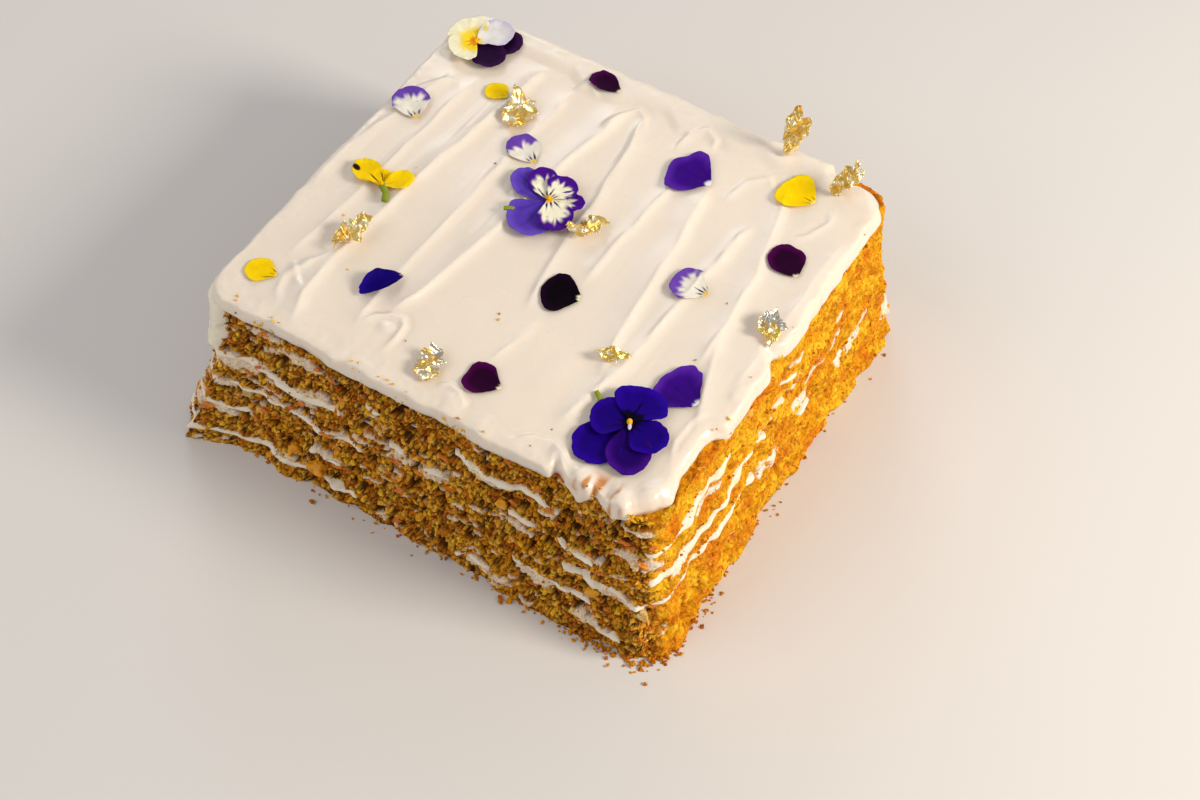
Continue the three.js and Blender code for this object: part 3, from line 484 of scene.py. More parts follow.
def showing(i, ring):
    """How fully a filling shows at the side."""
    wild = smooth(ring.noise(14, i * 4.7, 31), -0.3, 0.3)
    known = np.maximum(smooth(ring.facing("front"), 0.5, 0.9), smooth(ring.facing("right"), 0.5, 0.9))
    total = wild * (1 - known) + 0.06 * known
    for side, stretches in SHOWN.items():
        t = ring.along(side) + 1.5 * ring.noise(5, i, 33)
        here = smooth(ring.facing(side), 0.3, 0.8)
        for which, low, high, share in stretches:
            if which == i:
                begun = share * here * smooth(t, low - 2, low + 3)
                total = np.maximum(total, begun * smooth(-t, -high - 2, -high + 3))
    uneven = 0.08 + 0.37 * coarse(ring)
    return np.clip(total * (1.05 - 0.5 * uneven + uneven * ring.noise(3.2, i, 32)), 0, 1)


def filling(i, ring):
    """Middle height, half thickness and showing of a filling at the side."""
    wave = ring.noise(24, i * 5.3, 3) + 0.35 * ring.noise(8, i * 3.1, 4)
    rough = 0.15 + 0.85 * coarse(ring)
    middle = CREAM_HEIGHTS[i] + CREAM_TILTS[i] * ring.x + LAYER_WAVE * wave * (0.55 + 0.45 * coarse(ring))
    middle = middle + rough * (0.3 * ring.noise(2.7, i, 34) + 0.15 * ring.noise(1.2, i, 35))
    thick = CREAM_THICKNESS[i] * (1 + CREAM_UNEVEN * ring.noise(11, i * 7.7, 5))
    show = showing(i, ring)
    half = thick / 2 * show * (1 + (0.1 + 0.25 * rough) * ring.noise(3.7, i, 36))
    return middle, half, show


def dab_mask(ring, z, p):
    """Where cream is dragged over the crumb, 0 to 1."""
    x, y = p[..., 0], p[..., 1]
    ragged = 0.5 * noise(x / 2.4, y / 2.4, z / 1.3, 41) + 0.35 * noise(x / 0.9, y / 0.9, z / 0.7, 42)
    total = np.zeros(z.shape)
    for side, dabs in DABS.items():
        here = smooth(ring.facing(side), 0.2, 0.6)
        for at, height, wide, high in dabs:
            away = np.hypot((ring.along(side) - at) / wide, (z - height) / high)
            total = np.maximum(total, here * smooth(1.05 - away + ragged, 0.0, 0.35))
    rough = coarse(ring)
    streak = noise(x / 7, y / 7, z / 1.5, 43) + 0.45 * noise(x / 2.2, y / 2.2, z / 0.8, 44) + 0.25 * ragged
    level = 0.52 + 0.5 * (1 - rough)
    return np.maximum(total, 0.8 * smooth(streak, level, level + 0.3))


def broken_away(ring, z, ragged):
    """Depth of the hollows where crumb has broken away."""
    cave = np.zeros(z.shape)
    for side, hollows in HOLLOWS.items():
        here = smooth(ring.facing(side), 0.4, 0.8)
        for at, height, wide, high, depth in hollows:
            away = np.hypot((ring.along(side) - at) / wide, (z - height) / high) + ragged
            cave = np.maximum(cave, depth * here * smooth(1 - away, 0, 0.45))
    return cave


def crumb(ring, z, p, dab):
    """How far the crumb stands out from the side, how much painted shade its pores, gaps and hollows get,
    its clumps, and how coarse.
    """
    x, y = p[..., 0], p[..., 1]
    rough = coarse(ring) + 0 * z
    bent = [v + 0.55 * noise(x / 1.3, y / 1.3, z / 1.3, seed) for v, seed in ((x, 50), (y, 51), (z, 52))]
    near, far, number = cells(*bent, 1.8, 53)
    clump = smooth(far - near, 0.0, 0.3)
    hole, _, chance = cells(*bent, 3.2, 57)
    hollow = smooth(0.66 * smooth(chance, 0.45, 1.0) - hole, -0.05, 0.16) * rough
    pit, _, big = cells(*bent, 1.35, 61)
    pore = smooth(0.2 + 0.3 * big**2 - pit, 0, 0.16)
    out = rough * (0.65 * clump - 0.65 + 0.7 * (number - 0.5) + 1.0 * noise(x / 4.2, y / 4.2, z / 3, 22))
    knobs = 0.5 * noise(x / 2.6, y / 2.6, z / 2.6, 25) + 0.25 * clump + 0.35 * (number - 0.5)
    knobs = knobs + 1.6 * noise(x / 5, y / 5, z / 4, 26) * smooth(22 - z, 0, 14)
    out = out + (1 - rough) * (knobs - 0.15)
    out = out + (0.26 + 0.18 * rough) * noise(x / 1.1, y / 1.1, z / 1.0, 23)
    out = out + (0.2 + 0.1 * rough) * noise(x / 0.6, y / 0.6, z / 0.55, 24)
    out = out - 0.45 * pore - 1.9 * hollow
    cave = broken_away(ring, z, 0.45 * noise(x / 2, y / 2, z / 2, 46))
    cream = 0.3 + 0.35 * noise(x / 2.2, y / 2.2, z / 1.5, 47) + 0.25 * clump * rough
    out = out * (1 - dab) + cream * dab - cave
    # The pores, the gaps between the clumps and the hollows are painted dark: a painted shade in the
    # crumb's recesses.
    gap = (1 - clump) * (0.28 + 0.6 * rough)
    deep = np.clip(0.8 * pore + gap + 0.9 * hollow + 0.3 * cave, 0, 1)
    return out, deep * (1 - 0.75 * dab), number, rough


# The darkest of these shades is the painted shade in the crumb's pores, gaps and hollows.
SHADES = {
    "gold": linear(222, 148, 14), "light": linear(246, 190, 40), "tan": linear(242, 178, 58),
    "olive": linear(194, 130, 24), "brown": linear(194, 112, 20), "crevice_shade": linear(62, 28, 4),
    "carrot": linear(212, 96, 14), "cream": linear(242, 230, 208), "nut": linear(216, 180, 108),
    "fruit": linear(226, 152, 14), "stain": linear(198, 124, 36), "silver": linear(206, 204, 198),
}


def toward(base, shade, share):
    """A colour moved part of the way towards a named shade."""
    return base + (SHADES[shade] - base) * share[..., None]


def crumb_colour(x, y, z, rough, deep, number, dab):
    """Colour of the crumb as light at each point."""
    patch = noise(x / 8, y / 8, z / 5, 61)
    grain = noise(x / 0.8, y / 0.8, z / 0.8, 62)
    fine = toward(SHADES["gold"] + 0 * patch[..., None], "light", smooth(number, 0.45, 0.9) * 0.75)
    fine = toward(fine, "brown", smooth(0.35 - number, 0, 0.25) * 0.6)
    fine = toward(fine, "light", smooth(patch + 0.5 * (number - 0.5), 0.1, 0.7) * 0.55)
    fine = toward(fine, "carrot", smooth(-patch + 0.6 * (number - 0.5), 0.2, 0.7) * 0.55)
    clumps = toward(SHADES["brown"] + 0 * patch[..., None], "tan", smooth(number, 0.25, 0.7))
    clumps = toward(clumps, "olive", smooth(np.abs(number - 0.45), 0.12, 0.0) * 0.8)
    clumps = toward(clumps, "gold", smooth(patch, 0.0, 0.6) * 0.6)
    clumps = toward(clumps, "light", smooth(np.abs(number - 0.62), 0.08, 0.0) * 0.9)
    clumps = toward(clumps, "carrot", smooth(np.abs(number - 0.9), 0.05, 0.0) * 0.7)
    base = fine + (clumps - fine) * rough[..., None]
    base = base * (1 + 0.34 * grain[..., None])
    shred = noise(x / 3.0, y / 3.0, z / 1.3, 63) + 0.5 * noise(x / 1.2, y / 1.2, z / 1.0, 64)
    base = toward(base, "carrot", smooth(shred, 0.7, 0.95) * 0.8)
    # Painted shade: the crumb is darkened in its pores, gaps and hollows.
    base = toward(base, "crevice_shade", smooth(deep, 0.1, 0.95) * (0.45 + 0.5 * rough))
    return toward(base, "cream", smooth(dab, 0.1, 0.85) * (0.95 - 0.22 * rough))


def loop_faces(rows, count):
    """Quads between rows of points that go round."""
    i = np.arange(count)
    j = (i + 1) % count
    low = np.arange(rows - 1)[:, None] * count
    return np.stack([low + i, low + j, low + count + j, low + count + i], -1).reshape(-1, 4)


def fan(ring, centre, upward):
    """Triangles from a loop of points to one in its middle."""
    j = np.roll(ring, -1)
    middle = np.full(len(ring), centre)
    return np.stack([middle, ring, j] if upward else [middle, j, ring], -1)


def grid_faces(order):
    """Quads between the neighbouring points of a grid."""
    corners = [order[:-1, :-1], order[:-1, 1:], order[1:, 1:], order[1:, :-1]]
    return np.stack(corners, -1).reshape(-1, 4)


def border(order):
    """The outer points of a grid, in their order round it."""
    return np.concatenate([order[0, :-1], order[:-1, -1], order[-1, :0:-1], order[:0:-1, 0]])


def mesh(name, points, faces, look, node=(), slot=None, smoothed=True, **attributes):
    """A piece from points in millimetres, with values at its points for its material to use."""
    data = bpy.data.meshes.new(name)
    data.vertices.add(len(points))
    data.vertices.foreach_set("co", (np.asarray(points) * MM).astype(np.float32).ravel())
    loops = np.concatenate([np.asarray(f).ravel() for f in faces])
    sizes = np.concatenate([np.full(len(f), np.asarray(f).shape[1]) for f in faces])
    data.loops.add(len(loops))
    data.loops.foreach_set("vertex_index", loops.astype(np.int32))
    data.polygons.add(len(sizes))
    data.polygons.foreach_set("loop_start", (np.cumsum(sizes) - sizes).astype(np.int32))
    data.polygons.foreach_set("use_smooth", np.full(len(sizes), smoothed))
    for key, values in attributes.items():
        values = np.asarray(values, np.float32)
        if values.ndim == 2:
            colour = data.color_attributes.new(key, "FLOAT_COLOR", "POINT")
            opaque = np.hstack([values, np.ones((len(values), 1))])
            colour.data.foreach_set("color", opaque.astype(np.float32).ravel())
        else:
            data.attributes.new(key, "FLOAT", "POINT").data.foreach_set("value", values)
    data.update(calc_edges=True)
    data.validate()
    data.materials.append(look)
    piece = bpy.data.objects.new(name, data)
    bpy.context.scene.collection.objects.link(piece)
    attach(piece, "root")
    if node:
        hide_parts(*node)
    return piece


def material(name, roughness, grain, bump, metallic=0.0, granules=0.0, wet=None, specular=0.5,
             subsurface=0.0):
    """A finish: the tint of the points, broken up by fine noise, with a fine bump.

    Roughness goes from one value to another, grain and bump are strength and fineness, granules are
    the fineness of round grains, painted darker towards their edges as painted shade between them, and
    wet names the value of the points that decides the roughness.
    """
    look = bpy.data.materials.new(name)
    look.use_nodes = True
    tree = look.node_tree
    nodes, links = tree.nodes, tree.links
    shader = nodes["Principled BSDF"]
    shader.inputs["Metallic"].default_value = metallic
    shader.inputs["Specular IOR Level"].default_value = specular
    if subsurface:
        shader.inputs["Subsurface Weight"].default_value = subsurface
        shader.inputs["Subsurface Radius"].default_value = SUBSURFACE_RADIUS
        shader.inputs["Subsurface Scale"].default_value = 1.0
    place = nodes.new("ShaderNodeTexCoord").outputs["Object"]

    def texture(kind, scale, detail=None):
        node = nodes.new(kind)
        node.inputs["Scale"].default_value = scale
        if detail is not None:
            node.inputs["Detail"].default_value = detail
        links.new(place, node.inputs["Vector"])
        return node

    def spread(value, low, high, start=0.0, end=1.0):
        node = nodes.new("ShaderNodeMapRange")
        for key, number in (("From Min", start), ("From Max", end), ("To Min", low), ("To Max", high)):
            node.inputs[key].default_value = number
        links.new(value, node.inputs["Value"])
        return node.outputs["Result"]

    def product(a, b):
        node = nodes.new("ShaderNodeMath")
        node.operation = "MULTIPLY"
        links.new(a, node.inputs[0])
        links.new(b, node.inputs[1])
        return node.outputs["Value"]

    uneven, fineness = grain
    mottle = texture("ShaderNodeTexNoise", fineness, 3.0).outputs["Fac"]
    mottle = spread(mottle, 1 - uneven, 1 + uneven, 0.2, 0.8)
    strength, bump_fineness = bump
    height = texture("ShaderNodeTexNoise", bump_fineness, 4.0).outputs["Fac"]
    if granules:
        lump = texture("ShaderNodeTexVoronoi", granules).outputs["Distance"]
        # The grains are painted lighter in their middles and darker at their edges, a painted shade
        # between them that follows the bump.
        mottle = product(mottle, spread(lump, 1.12, 0.78, 0.2, 0.75))
        height = product(height, spread(lump, 1.0, 0.2, 0.0, 0.8))
    tint = nodes.new("ShaderNodeAttribute")
    tint.attribute_name = "tint"
    mix = nodes.new("ShaderNodeMix")
    mix.data_type = "RGBA"
    mix.blend_type = "MULTIPLY"
    mix.inputs["Factor"].default_value = 1.0
    links.new(tint.outputs["Color"], mix.inputs["A"])
    links.new(mottle, mix.inputs["B"])
    links.new(mix.outputs["Result"], shader.inputs["Base Color"])

    if wet:
        value = nodes.new("ShaderNodeAttribute")
        value.attribute_name = wet
        value = value.outputs["Fac"]
    else:
        value = texture("ShaderNodeTexNoise", fineness * 0.4, 2.0).outputs["Fac"]
    links.new(spread(value, *roughness), shader.inputs["Roughness"])

    relief = nodes.new("ShaderNodeBump")
    relief.inputs["Strength"].default_value = strength
    relief.inputs["Distance"].default_value = BUMP_DISTANCE
    links.new(height, relief.inputs["Height"])
    links.new(relief.outputs["Normal"], shader.inputs["Normal"])
    return look


LOOKS = {
    "sponge": material("open_crumb", (0.9, 0.4), (0.14, 1300.0), (0.8, 1500.0), granules=1500.0,
                       wet="cream", specular=0.12),
    "cream": material("filling", (0.34, 0.56), (0.03, 500.0), (0.2, 900.0), subsurface=0.1),
    "icing": material("icing", (0.18, 0.34), (0.015, 160.0), (0.05, 420.0), subsurface=0.35),
    "petal": material("petal", (0.5, 0.66), (0.07, 1500.0), (0.25, 1900.0), specular=0.04),
    "gold": material("gold_leaf", (0.16, 0.36), (0.12, 700.0), (0.12, 1200.0), metallic=0.82),
    "crumbs": material("crumbs", (0.85, 0.95), (0.2, 1500.0), (0.8, 1900.0), granules=1700.0,
                       specular=0.1),
    "fruit": material("candied_fruit", (0.22, 0.45), (0.12, 600.0), (0.4, 900.0), specular=0.35,
                      subsurface=0.3),
}

side_ring = Ring.even(SIDE_STEP)
rng = np.random.default_rng(SEED)


def layer_edges(i, ring):
    """Lower and upper height of a sponge layer at the side, and how far each edge turns in."""
    if i < LAST_LAYER:
        middle, half, turn_low = filling(i, ring)
        low = middle + half
    else:
        low, turn_low = np.zeros(len(ring.x)), np.zeros(len(ring.x))
    if i > 0:
        middle, half, turn_high = filling(i - 1, ring)
        high = middle - half
    else:
        high, turn_high = SPONGE_TOP + crust_height(ring), np.full(len(ring.x), TOP_TURN)
    return low, high, turn_low, turn_high


def sponge(i):
    """A sponge layer: its craggy side, and flat faces where it meets its neighbours."""
    ring = side_ring
    count = len(ring.x)
    low, high, show_low, show_high = layer_edges(i, ring)
    rows = int(round((high - low).mean() / SIDE_STEP)) + 1
    share = np.linspace(0, 1, rows)[:, None]
    z = low + (high - low) * share
    low_turn = np.clip(1 - share / TURN_SHARE, 0, 1) ** 2
    high_turn = np.clip(1 - (1 - share) / TURN_SHARE, 0, 1) ** 2
    inset = SHOULDER / 2 * (show_low * low_turn + show_high * high_turn)
    out = side_offset(ring.x, ring.y, z) - inset
    p = ring.out(out, z)
    dab = dab_mask(ring, z, p)
    detail, deep, number, rough = crumb(ring, z, p, dab)
    settle = np.where(i == LAST_LAYER, smooth(z, 0, 1.2), 1.0)
    detail = detail * (0.4 + 0.6 * settle)
    p[..., 0] += detail * ring.nx
    p[..., 1] += detail * ring.ny
    lift = 0.3 * noise(p[..., 0] / 1.7, p[..., 1] / 1.7, z / 1.7, 48)
    p[..., 2] += lift * smooth(share, 0, 0.08) * smooth(1 - share, 0, 0.08)
    points = [p.reshape(-1, 3)]
    tint = [crumb_colour(p[..., 0], p[..., 1], z, rough, deep, number, dab).reshape(-1, 3)]
    cream = [dab.ravel()]
    faces = [loop_faces(rows, count)]
    total = rows * count

    def cap(edge_row, height, upward, terraces):
        """Closes the layer at an edge, with terraces that go inward."""
        nonlocal total
        previous = np.arange(count) + edge_row * count
        for inward in terraces:
            flat = ring.out(out[edge_row] - inward, height)
            if i == 0 and upward:
                bumps = 0.5 * noise(flat[:, 0] / 1.5, flat[:, 1] / 1.5, 0, 49) - 0.2
                settled = smooth(inward, 0.8, 3.0)
                flat[:, 2] += bumps * (inward < ICING_SEAT - 1) - (height - SPONGE_TOP) * settled
            points.append(flat)
            number = cells(*flat.T, 4.6, 51)[2]
            none = 0 * number
            tint.append(crumb_colour(*flat.T, coarse(ring), none, number, none))
            cream.append(np.zeros(count))
            here = np.arange(count) + total
            total += count
            pair = [previous, np.roll(previous, -1), np.roll(here, -1), here]
            faces.append(np.stack(pair if upward else pair[::-1], -1))
            previous = here
        points.append(np.array([[0, 0, points[-1][:, 2].mean()]]))
        tint.append(SHADES["gold"][None])
        cream.append(np.zeros(1))
        faces.append(fan(previous, total, upward))
        total += 1

    cap(0, low, False, INNER_TERRACES)
    cap(rows - 1, high, True, TOP_TERRACES if i == 0 else INNER_TERRACES)
    points, tint, cream = (np.concatenate(part) for part in (points, tint, cream))
    mesh(f"crumb_{i + 1}", points, faces, LOOKS["sponge"], [f"sponge_{i + 1}"], "sponge", tint=tint,
         cream=cream)


def cream(i):
    """A filling: its edge swells out between the layers where it shows."""
    ring = side_ring
    middle, half, show = filling(i, ring)
    t = np.linspace(-1, 1, 9)[:, None]
    z = middle + (half + 0.12) * t
    proud = -2.2 + 2.75 * smooth(show, 0.05, 0.5) - 0.45 * t**2
    proud = proud + 0.45 * ring.noise(3.4, i + 0 * t, 71)
    proud = proud + 0.18 * ring.noise(1.3, z / 1.1, 72)
    p = ring.out(side_offset(ring.x, ring.y, z) + proud, z)
    count = len(ring.x)
    rows = len(t)
    points = [p.reshape(-1, 3)]
    faces = [loop_faces(rows, count)]
    for edge_row, upward in ((0, False), (rows - 1, True)):
        points.append(np.array([[0, 0, z[edge_row].mean()]]))
        faces.append(fan(np.arange(count) + edge_row * count, rows * count + int(upward), upward))
    points = np.concatenate(points)
    x, y, z = points.T
    stain = smooth(noise(x / 1.6, y / 1.6, z / 1.2, 73), 0.25, 0.8)[:, None]
    tint = SHADES["cream"] * (1 - 0.35 * stain) + 0.35 * stain * SHADES["tan"]
    mesh(f"filling_{i + 1}", points, faces, LOOKS["cream"], [f"cream_{i + 1}"], "cream", tint=tint)


def crest_at(path, y):
    """Place of a ridge's crest, and how far it goes on past there."""
    low_first = path if path[0][1] < path[-1][1] else path[::-1]
    xs, ys = zip(*low_first)
    return np.interp(y, ys, xs), np.minimum(y - ys[0], ys[-1] - y)


def from_path(x, y, path):
    """Distance from a path, the side of it, and the share of its length at the nearest place."""
    places = np.array(path, float)
    steps = np.diff(places, axis=0)
    lengths = np.hypot(*steps.T)
    before = np.concatenate([[0], np.cumsum(lengths)])
    best = np.full(np.shape(x), 1e3)
    side, along = np.zeros(np.shape(x)), np.zeros(np.shape(x))
    for (px, py), (dx, dy), length, start in zip(places, steps, lengths, before):
        t = np.clip(((x - px) * dx + (y - py) * dy) / length**2, 0, 1)
        away = np.hypot(x - px - t * dx, y - py - t * dy)
        nearer = away < best
        side = np.where(nearer, dx * (y - py) - dy * (x - px), side)
        along = np.where(nearer, (start + t * length) / before[-1], along)
        best = np.where(nearer, away, best)
    return best, side, along


def icing_height(x, y, fine=True):
    """Height of the icing's top away from its edge."""
    z = ICING_TOP + 0.3 * noise(x / 26, y / 34, 0, 7) + 0.15 * noise(x / 7, y / 16, 0, 8)
    b = BACK_BAND
    z = z + b["high"] * smooth(y + 2.5 * noise(x / 9, 0, 0, 9), b["start"], b["start"] + b["over"])
    waver = 0.5 * noise(0, y / 9, 0, 81) if fine else 0
    for n, (high, left, right, path) in enumerate(RIDGES):
        high = high * RIDGE_SHARE
        crest, within = crest_at(path, y)
        away = x - crest - waver
        fade = smooth(within, -1, RIDGE_FADE)
        side = np.where(away < 0, left, right)
        z = z + high * fade * np.exp(-np.abs(away / side) ** 1.4)
        if fine:
            lip = 0.3 * (0.7 + 0.8 * noise(n * 3.3, y / 5, 0, 82))
            z = z + lip * fade * np.exp(-np.abs(away / 0.6) ** 1.3)
    for cx, cy, rx, ry, high in BLOBS:
        z = z + high * np.exp(-(np.hypot((x - cx) / rx, (y - cy) / ry) ** 3))
    if fine:
        for high, wide, path in CURLS:
            away, side, along = from_path(x, y, path)
            furrow = 0.35 * np.exp(-(((away - 1.6 * wide) / wide) ** 2)) * (side > 0)
            body = np.exp(-np.abs(away / wide) ** 1.3) - furrow
            z = z + high * body * smooth(along, 0, 0.2) * smooth(1 - along, 0, 0.3)
        drag = smooth(noise(x / 12, y / 30, 0, 80), -0.2, 0.6)
        z = z + drag * (0.06 * noise(x / 1.3, y / 26, 0, 83) + 0.04 * noise(x / 0.7, y / 18, 0, 84))
        edge = smooth(-y, 60, 72) + 0.6 * smooth(y, 62, 72) + 0.4 * smooth(np.abs(x), 70, 78)
        z = z + edge * (0.2 * noise(x / 5, y / 4, 0, 85) + 0.12 * noise(x / 1.8, y / 1.8, 0, 86))
    return z


def front_share(ring):
    """1 along the front up to its right end, and 0 elsewhere."""
    return smooth(ring.facing("front"), 0.4, 0.9) * (1 - smooth(ring.x, *FRONT_END))


def crust_height(ring):
    """How far the top layer's edge stands up past its flat top."""
    up = (FRONT_LIFT - 0.9) * front_share(ring) + 0.2
    for x, y, high, reach in CRUSTS:
        up = np.maximum(up, high * smooth(hump(ring.x, ring.y, x, y, reach), 0, 0.5))
    return up + 0.5 * up * ring.noise(3, 0, 99) + 0.2 * ring.noise(1.1, 0, 100)


def evened(values, reach):
    """Values round a loop, each the mean of its neighbours."""
    return np.mean([np.roll(values, k) for k in range(-reach, reach + 1)], axis=0)


def icing_edge(ring):
    """How far the icing hangs at a station, and how far it stops short."""
    uneven = ring.noise(8, 0, 10)
    right = smooth(ring.facing("right"), 0.5, 0.9)
    hang = ICING_LIP + 0.6 * uneven * (1 - 0.6 * right) - 0.7 * right
    for x, y, low, reach in LOBES:
        hang = hang + low * hump(ring.x, ring.y, x, y, reach)
    short = np.zeros(hang.shape)
    for x, y, inset, reach in SHORTFALLS:
        short = np.maximum(short, inset * hump(ring.x, ring.y, x, y, reach) * (1 + 0.3 * uneven))
        hang = hang * (1 - np.minimum(1, 6 * hump(ring.x, ring.y, x, y, reach * SHORTFALL_SPREAD)))
    hang = hang - FRONT_LIFT * front_share(ring)
    ragged = 0.55 * ring.noise(2.8, 0, 87) + 0.3 * ring.noise(1.2, 0, 88)
    return hang + ragged, short + 0.6 * ragged * smooth(short, 0.3, 1)


def rim_knots(ring, hang, short):
    """Places that the icing's edge runs through: how far out, and how high."""
    deepest = np.max([np.roll(hang, k) for k in range(-14, 15, 2)], axis=0)
    depths = SPONGE_TOP - (deepest + 2) * np.linspace(0, 1, 12)[:, None]
    wall = side_offset(ring.x, ring.y, depths).max(0) + GAP
    top = side_offset(ring.x, ring.y, SPONGE_TOP + 0 * ring.x) + GAP
    skirt = ICING_SKIRT * smooth(hang, 0, 2)
    seat = ICING_SEAT_HEIGHT
    back = top - GAP - SHOULDER - short
    usual = [(top - 0.4, ROUNDING), (wall + skirt + ICING_BULGE, SPONGE_TOP - 0.55 * hang + 0.5),
             (wall, SPONGE_TOP - hang), (wall - 1.2, seat)]
    scant = [(back - 0.7, ROUNDING), (back + 0.9, seat + 2.6), (back + 0.5, seat + 0.5), (back, seat)]
    mix = evened(smooth(short, 0.35, 1.0), 3)
    knots = zip(usual, scant)
    return [((1 - mix) * a + mix * b, (1 - mix) * za + mix * zb) for (a, za), (b, zb) in knots]


def between(t, before, start, end, after):
    """A place on the smooth curve through four knots, part of the way from the second to the third."""
    w0, w1 = -0.5 * t + t**2 - 0.5 * t**3, 1 - 2.5 * t**2 + 1.5 * t**3
    w2, w3 = 0.5 * t + 2 * t**2 - 1.5 * t**3, -0.5 * t**2 + 0.5 * t**3
    return [w0 * a + w1 * b + w2 * c + w3 * d for a, b, c, d in zip(before, start, end, after)]


def icing_rim(ring, knots, start):
    """Rows of points from the border of the icing's top over its edge, to the lip and back under."""
    level = 0 * start[:, 2]
    reach = np.hypot(start[:, 0], start[:, 1])
    track = [(reach - 2.0, start[:, 2]), (reach, start[:, 2])]
    track += [(ring.reach + out * ring.stretch, z + level) for out, z in knots]
    soft_top = np.minimum(ROUNDING + 0.35 * (start[:, 2] - ICING_TOP), start[:, 2] - 0.3)
    track[2] = (track[2][0], soft_top)
    rings = []
    for k in range(3):
        for t in np.arange(1, RIM_STEPS + 1) / RIM_STEPS:
            rings.append(between(t, *track[k:k + 4]))
    rings.append(track[5])
    rings.append((ring.reach - 6 * ring.stretch, ICING_SEAT_HEIGHT + level))
    rim = []
    for n, (reach, height) in enumerate(rings):
        px, py = ring.ux * reach, ring.uy * reach
        soft = 0.22 * noise(px / 3.5, py / 3.5, height / 2.5, 89)
        soft = soft + 0.1 * noise(px / 1.4, py / 1.4, height / 1.2, 90)
        soft = soft * (n < len(rings) - 3) * min(1, (n + 1) / 5)
        rim.append(np.stack([px + soft * ring.nx, py + soft * ring.ny, height + 0.5 * soft], -1))
    return rim


def icing_tint(points):
    """Colour of the icing: a warm white with a painted shade, darker in the troughs and darkest over its
    edge, and stained with crumb towards its edge.
    """
    x, y, z = points.T
    tone = noise(x / 20, y / 40, 0, 91)[:, None]
    # Painted shade: the lower the icing lies below its crests, the darker and warmer it is painted, so the
    # troughs and the edge look shaded and the crests stay white.
    low = smooth(ICING_TOP + 1.2 - z, 0, 2.0)[:, None]
    tint = linear(239, 227, 212) * (1 + 0.02 * tone) * (1 - low * np.array([0.03, 0.05, 0.08]))
    edge = smooth(SPONGE_TOP + 1.5 - z, 0, 3)
    stain = smooth(noise(x / 2.2, y / 2.2, z / 2.2, 92), 0.1, 0.7)
    tint = toward(tint, "tan", edge * stain * 0.45)
    spill = hump(x, y, STAIN["x"], STAIN["y"], STAIN["reach"])
    streak = noise(x / 1.6, y / 4, z / 3, 93) + 0.4 * noise(x, 0, 0, 94)
    return toward(tint, "stain", np.clip(2.6 * spill, 0, 1) * smooth(streak, -0.1, 0.35) * 0.9)


def icing():
    """The icing: a grid across the ridges on top, and a soft rim that rolls over to the lip."""
    w, d = WIDTH / 2, DEPTH / 2
    columns, rows = int(WIDTH / ICING_STEP), int(DEPTH / ICING_STEP)
    gx, gy = np.meshgrid(np.linspace(-w, w, columns + 1), np.linspace(-d, d, rows + 1))
    order = np.arange(gx.size).reshape(gx.shape)
    loop = border(order)
    grid_turn = np.arctan2(gy, gx)
    turn = grid_turn.ravel()[loop]
    ring = Ring(turn)
    knots = rim_knots(ring, *(evened(v, 2) for v in icing_edge(ring)))
    rim_reach = ring.reach + knots[0][0] * ring.stretch - ICING_RIM
    by_turn = np.argsort(turn)
    rim_here = np.interp(grid_turn, turn[by_turn], rim_reach[by_turn], period=2 * math.pi)
    square = Ring(grid_turn).square
    x, y = gx * rim_here / square, gy * rim_here / square
    grid = np.stack([x, y, icing_height(x, y)], -1).reshape(-1, 3)

    rim = icing_rim(ring, knots, grid[loop])
    points = np.concatenate([grid, *rim, [[0, 0, ICING_SEAT_HEIGHT]]])
    index = [loop, *(np.arange(len(loop)) + len(grid) + n * len(loop) for n in range(len(rim)))]
    bands = [np.stack([b, np.roll(b, -1), np.roll(a, -1), a], -1) for a, b in zip(index, index[1:])]
    faces = [grid_faces(order), *bands, fan(index[-1], len(points) - 1, False)]
    mesh("icing_coat", points, faces, LOOKS["icing"], ["icing"], "icing", tint=icing_tint(points))


def corner_smear():
    """The smear of cream that hangs below the icing at the left corner."""
    low, high = (np.array(v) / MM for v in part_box("smear"))
    rows, count = 90, 110
    first, last = math.atan2(high[1], -WIDTH / 2), math.atan2(-DEPTH / 2, high[0])
    ring = Ring(np.linspace(first, last, count))
    t = np.linspace(0, 1, rows)[:, None]
    across = np.linspace(-1, 1, count)
    uneven = 0.16 * ring.noise(2.5, 0, 95) + 0.1 * noise(ring.x, ring.y, 0, 94)
    drop = (high[2] - low[2]) * np.clip(1.05 - np.abs(across - 0.55) ** 2.2 + uneven, 0.15, 1)
    top = high[2] + SMEAR_RISE
    z = top - (drop + SMEAR_RISE) * t
    wall = side_offset(ring.x, ring.y, np.minimum(z, SPONGE_TOP))
    body = np.clip(1 - across**10, 0, 1) * np.clip(1 - (2 * t - 1) ** 8, 0, 1)
    wave = 0.45 * ring.noise(3, z / 5, 96) + 0.25 * ring.noise(1.3, z / 2, 97)
    bare = smooth(ring.noise(2.2, z / 3, 98) + 0.3 * t * np.abs(across), 0.45, 0.7)
    outer = wall + (SMEAR_THICK + wave) * body - SMEAR_DEPTH * bare * smooth(t, 0.25, 0.5)
    outer = ring.out(outer, z)
    inner = ring.out(wall - SMEAR_DEPTH, z)
    points = np.concatenate([outer.reshape(-1, 3), inner.reshape(-1, 3)])
    total = rows * count
    order = np.arange(total).reshape(rows, count)
    quads = grid_faces(order)[:, ::-1]
    rim = border(order)
    wall_faces = np.stack([rim, np.roll(rim, -1), np.roll(rim, -1) + total, rim + total], -1)
    tone = 1 + 0.03 * noise(*points.T, 98)[:, None]
    faces = [quads, quads[:, ::-1] + total, wall_faces]
    mesh("corner_smear", points, faces, LOOKS["icing"], ["smear"], "icing", tint=SHADES["cream"] * tone)


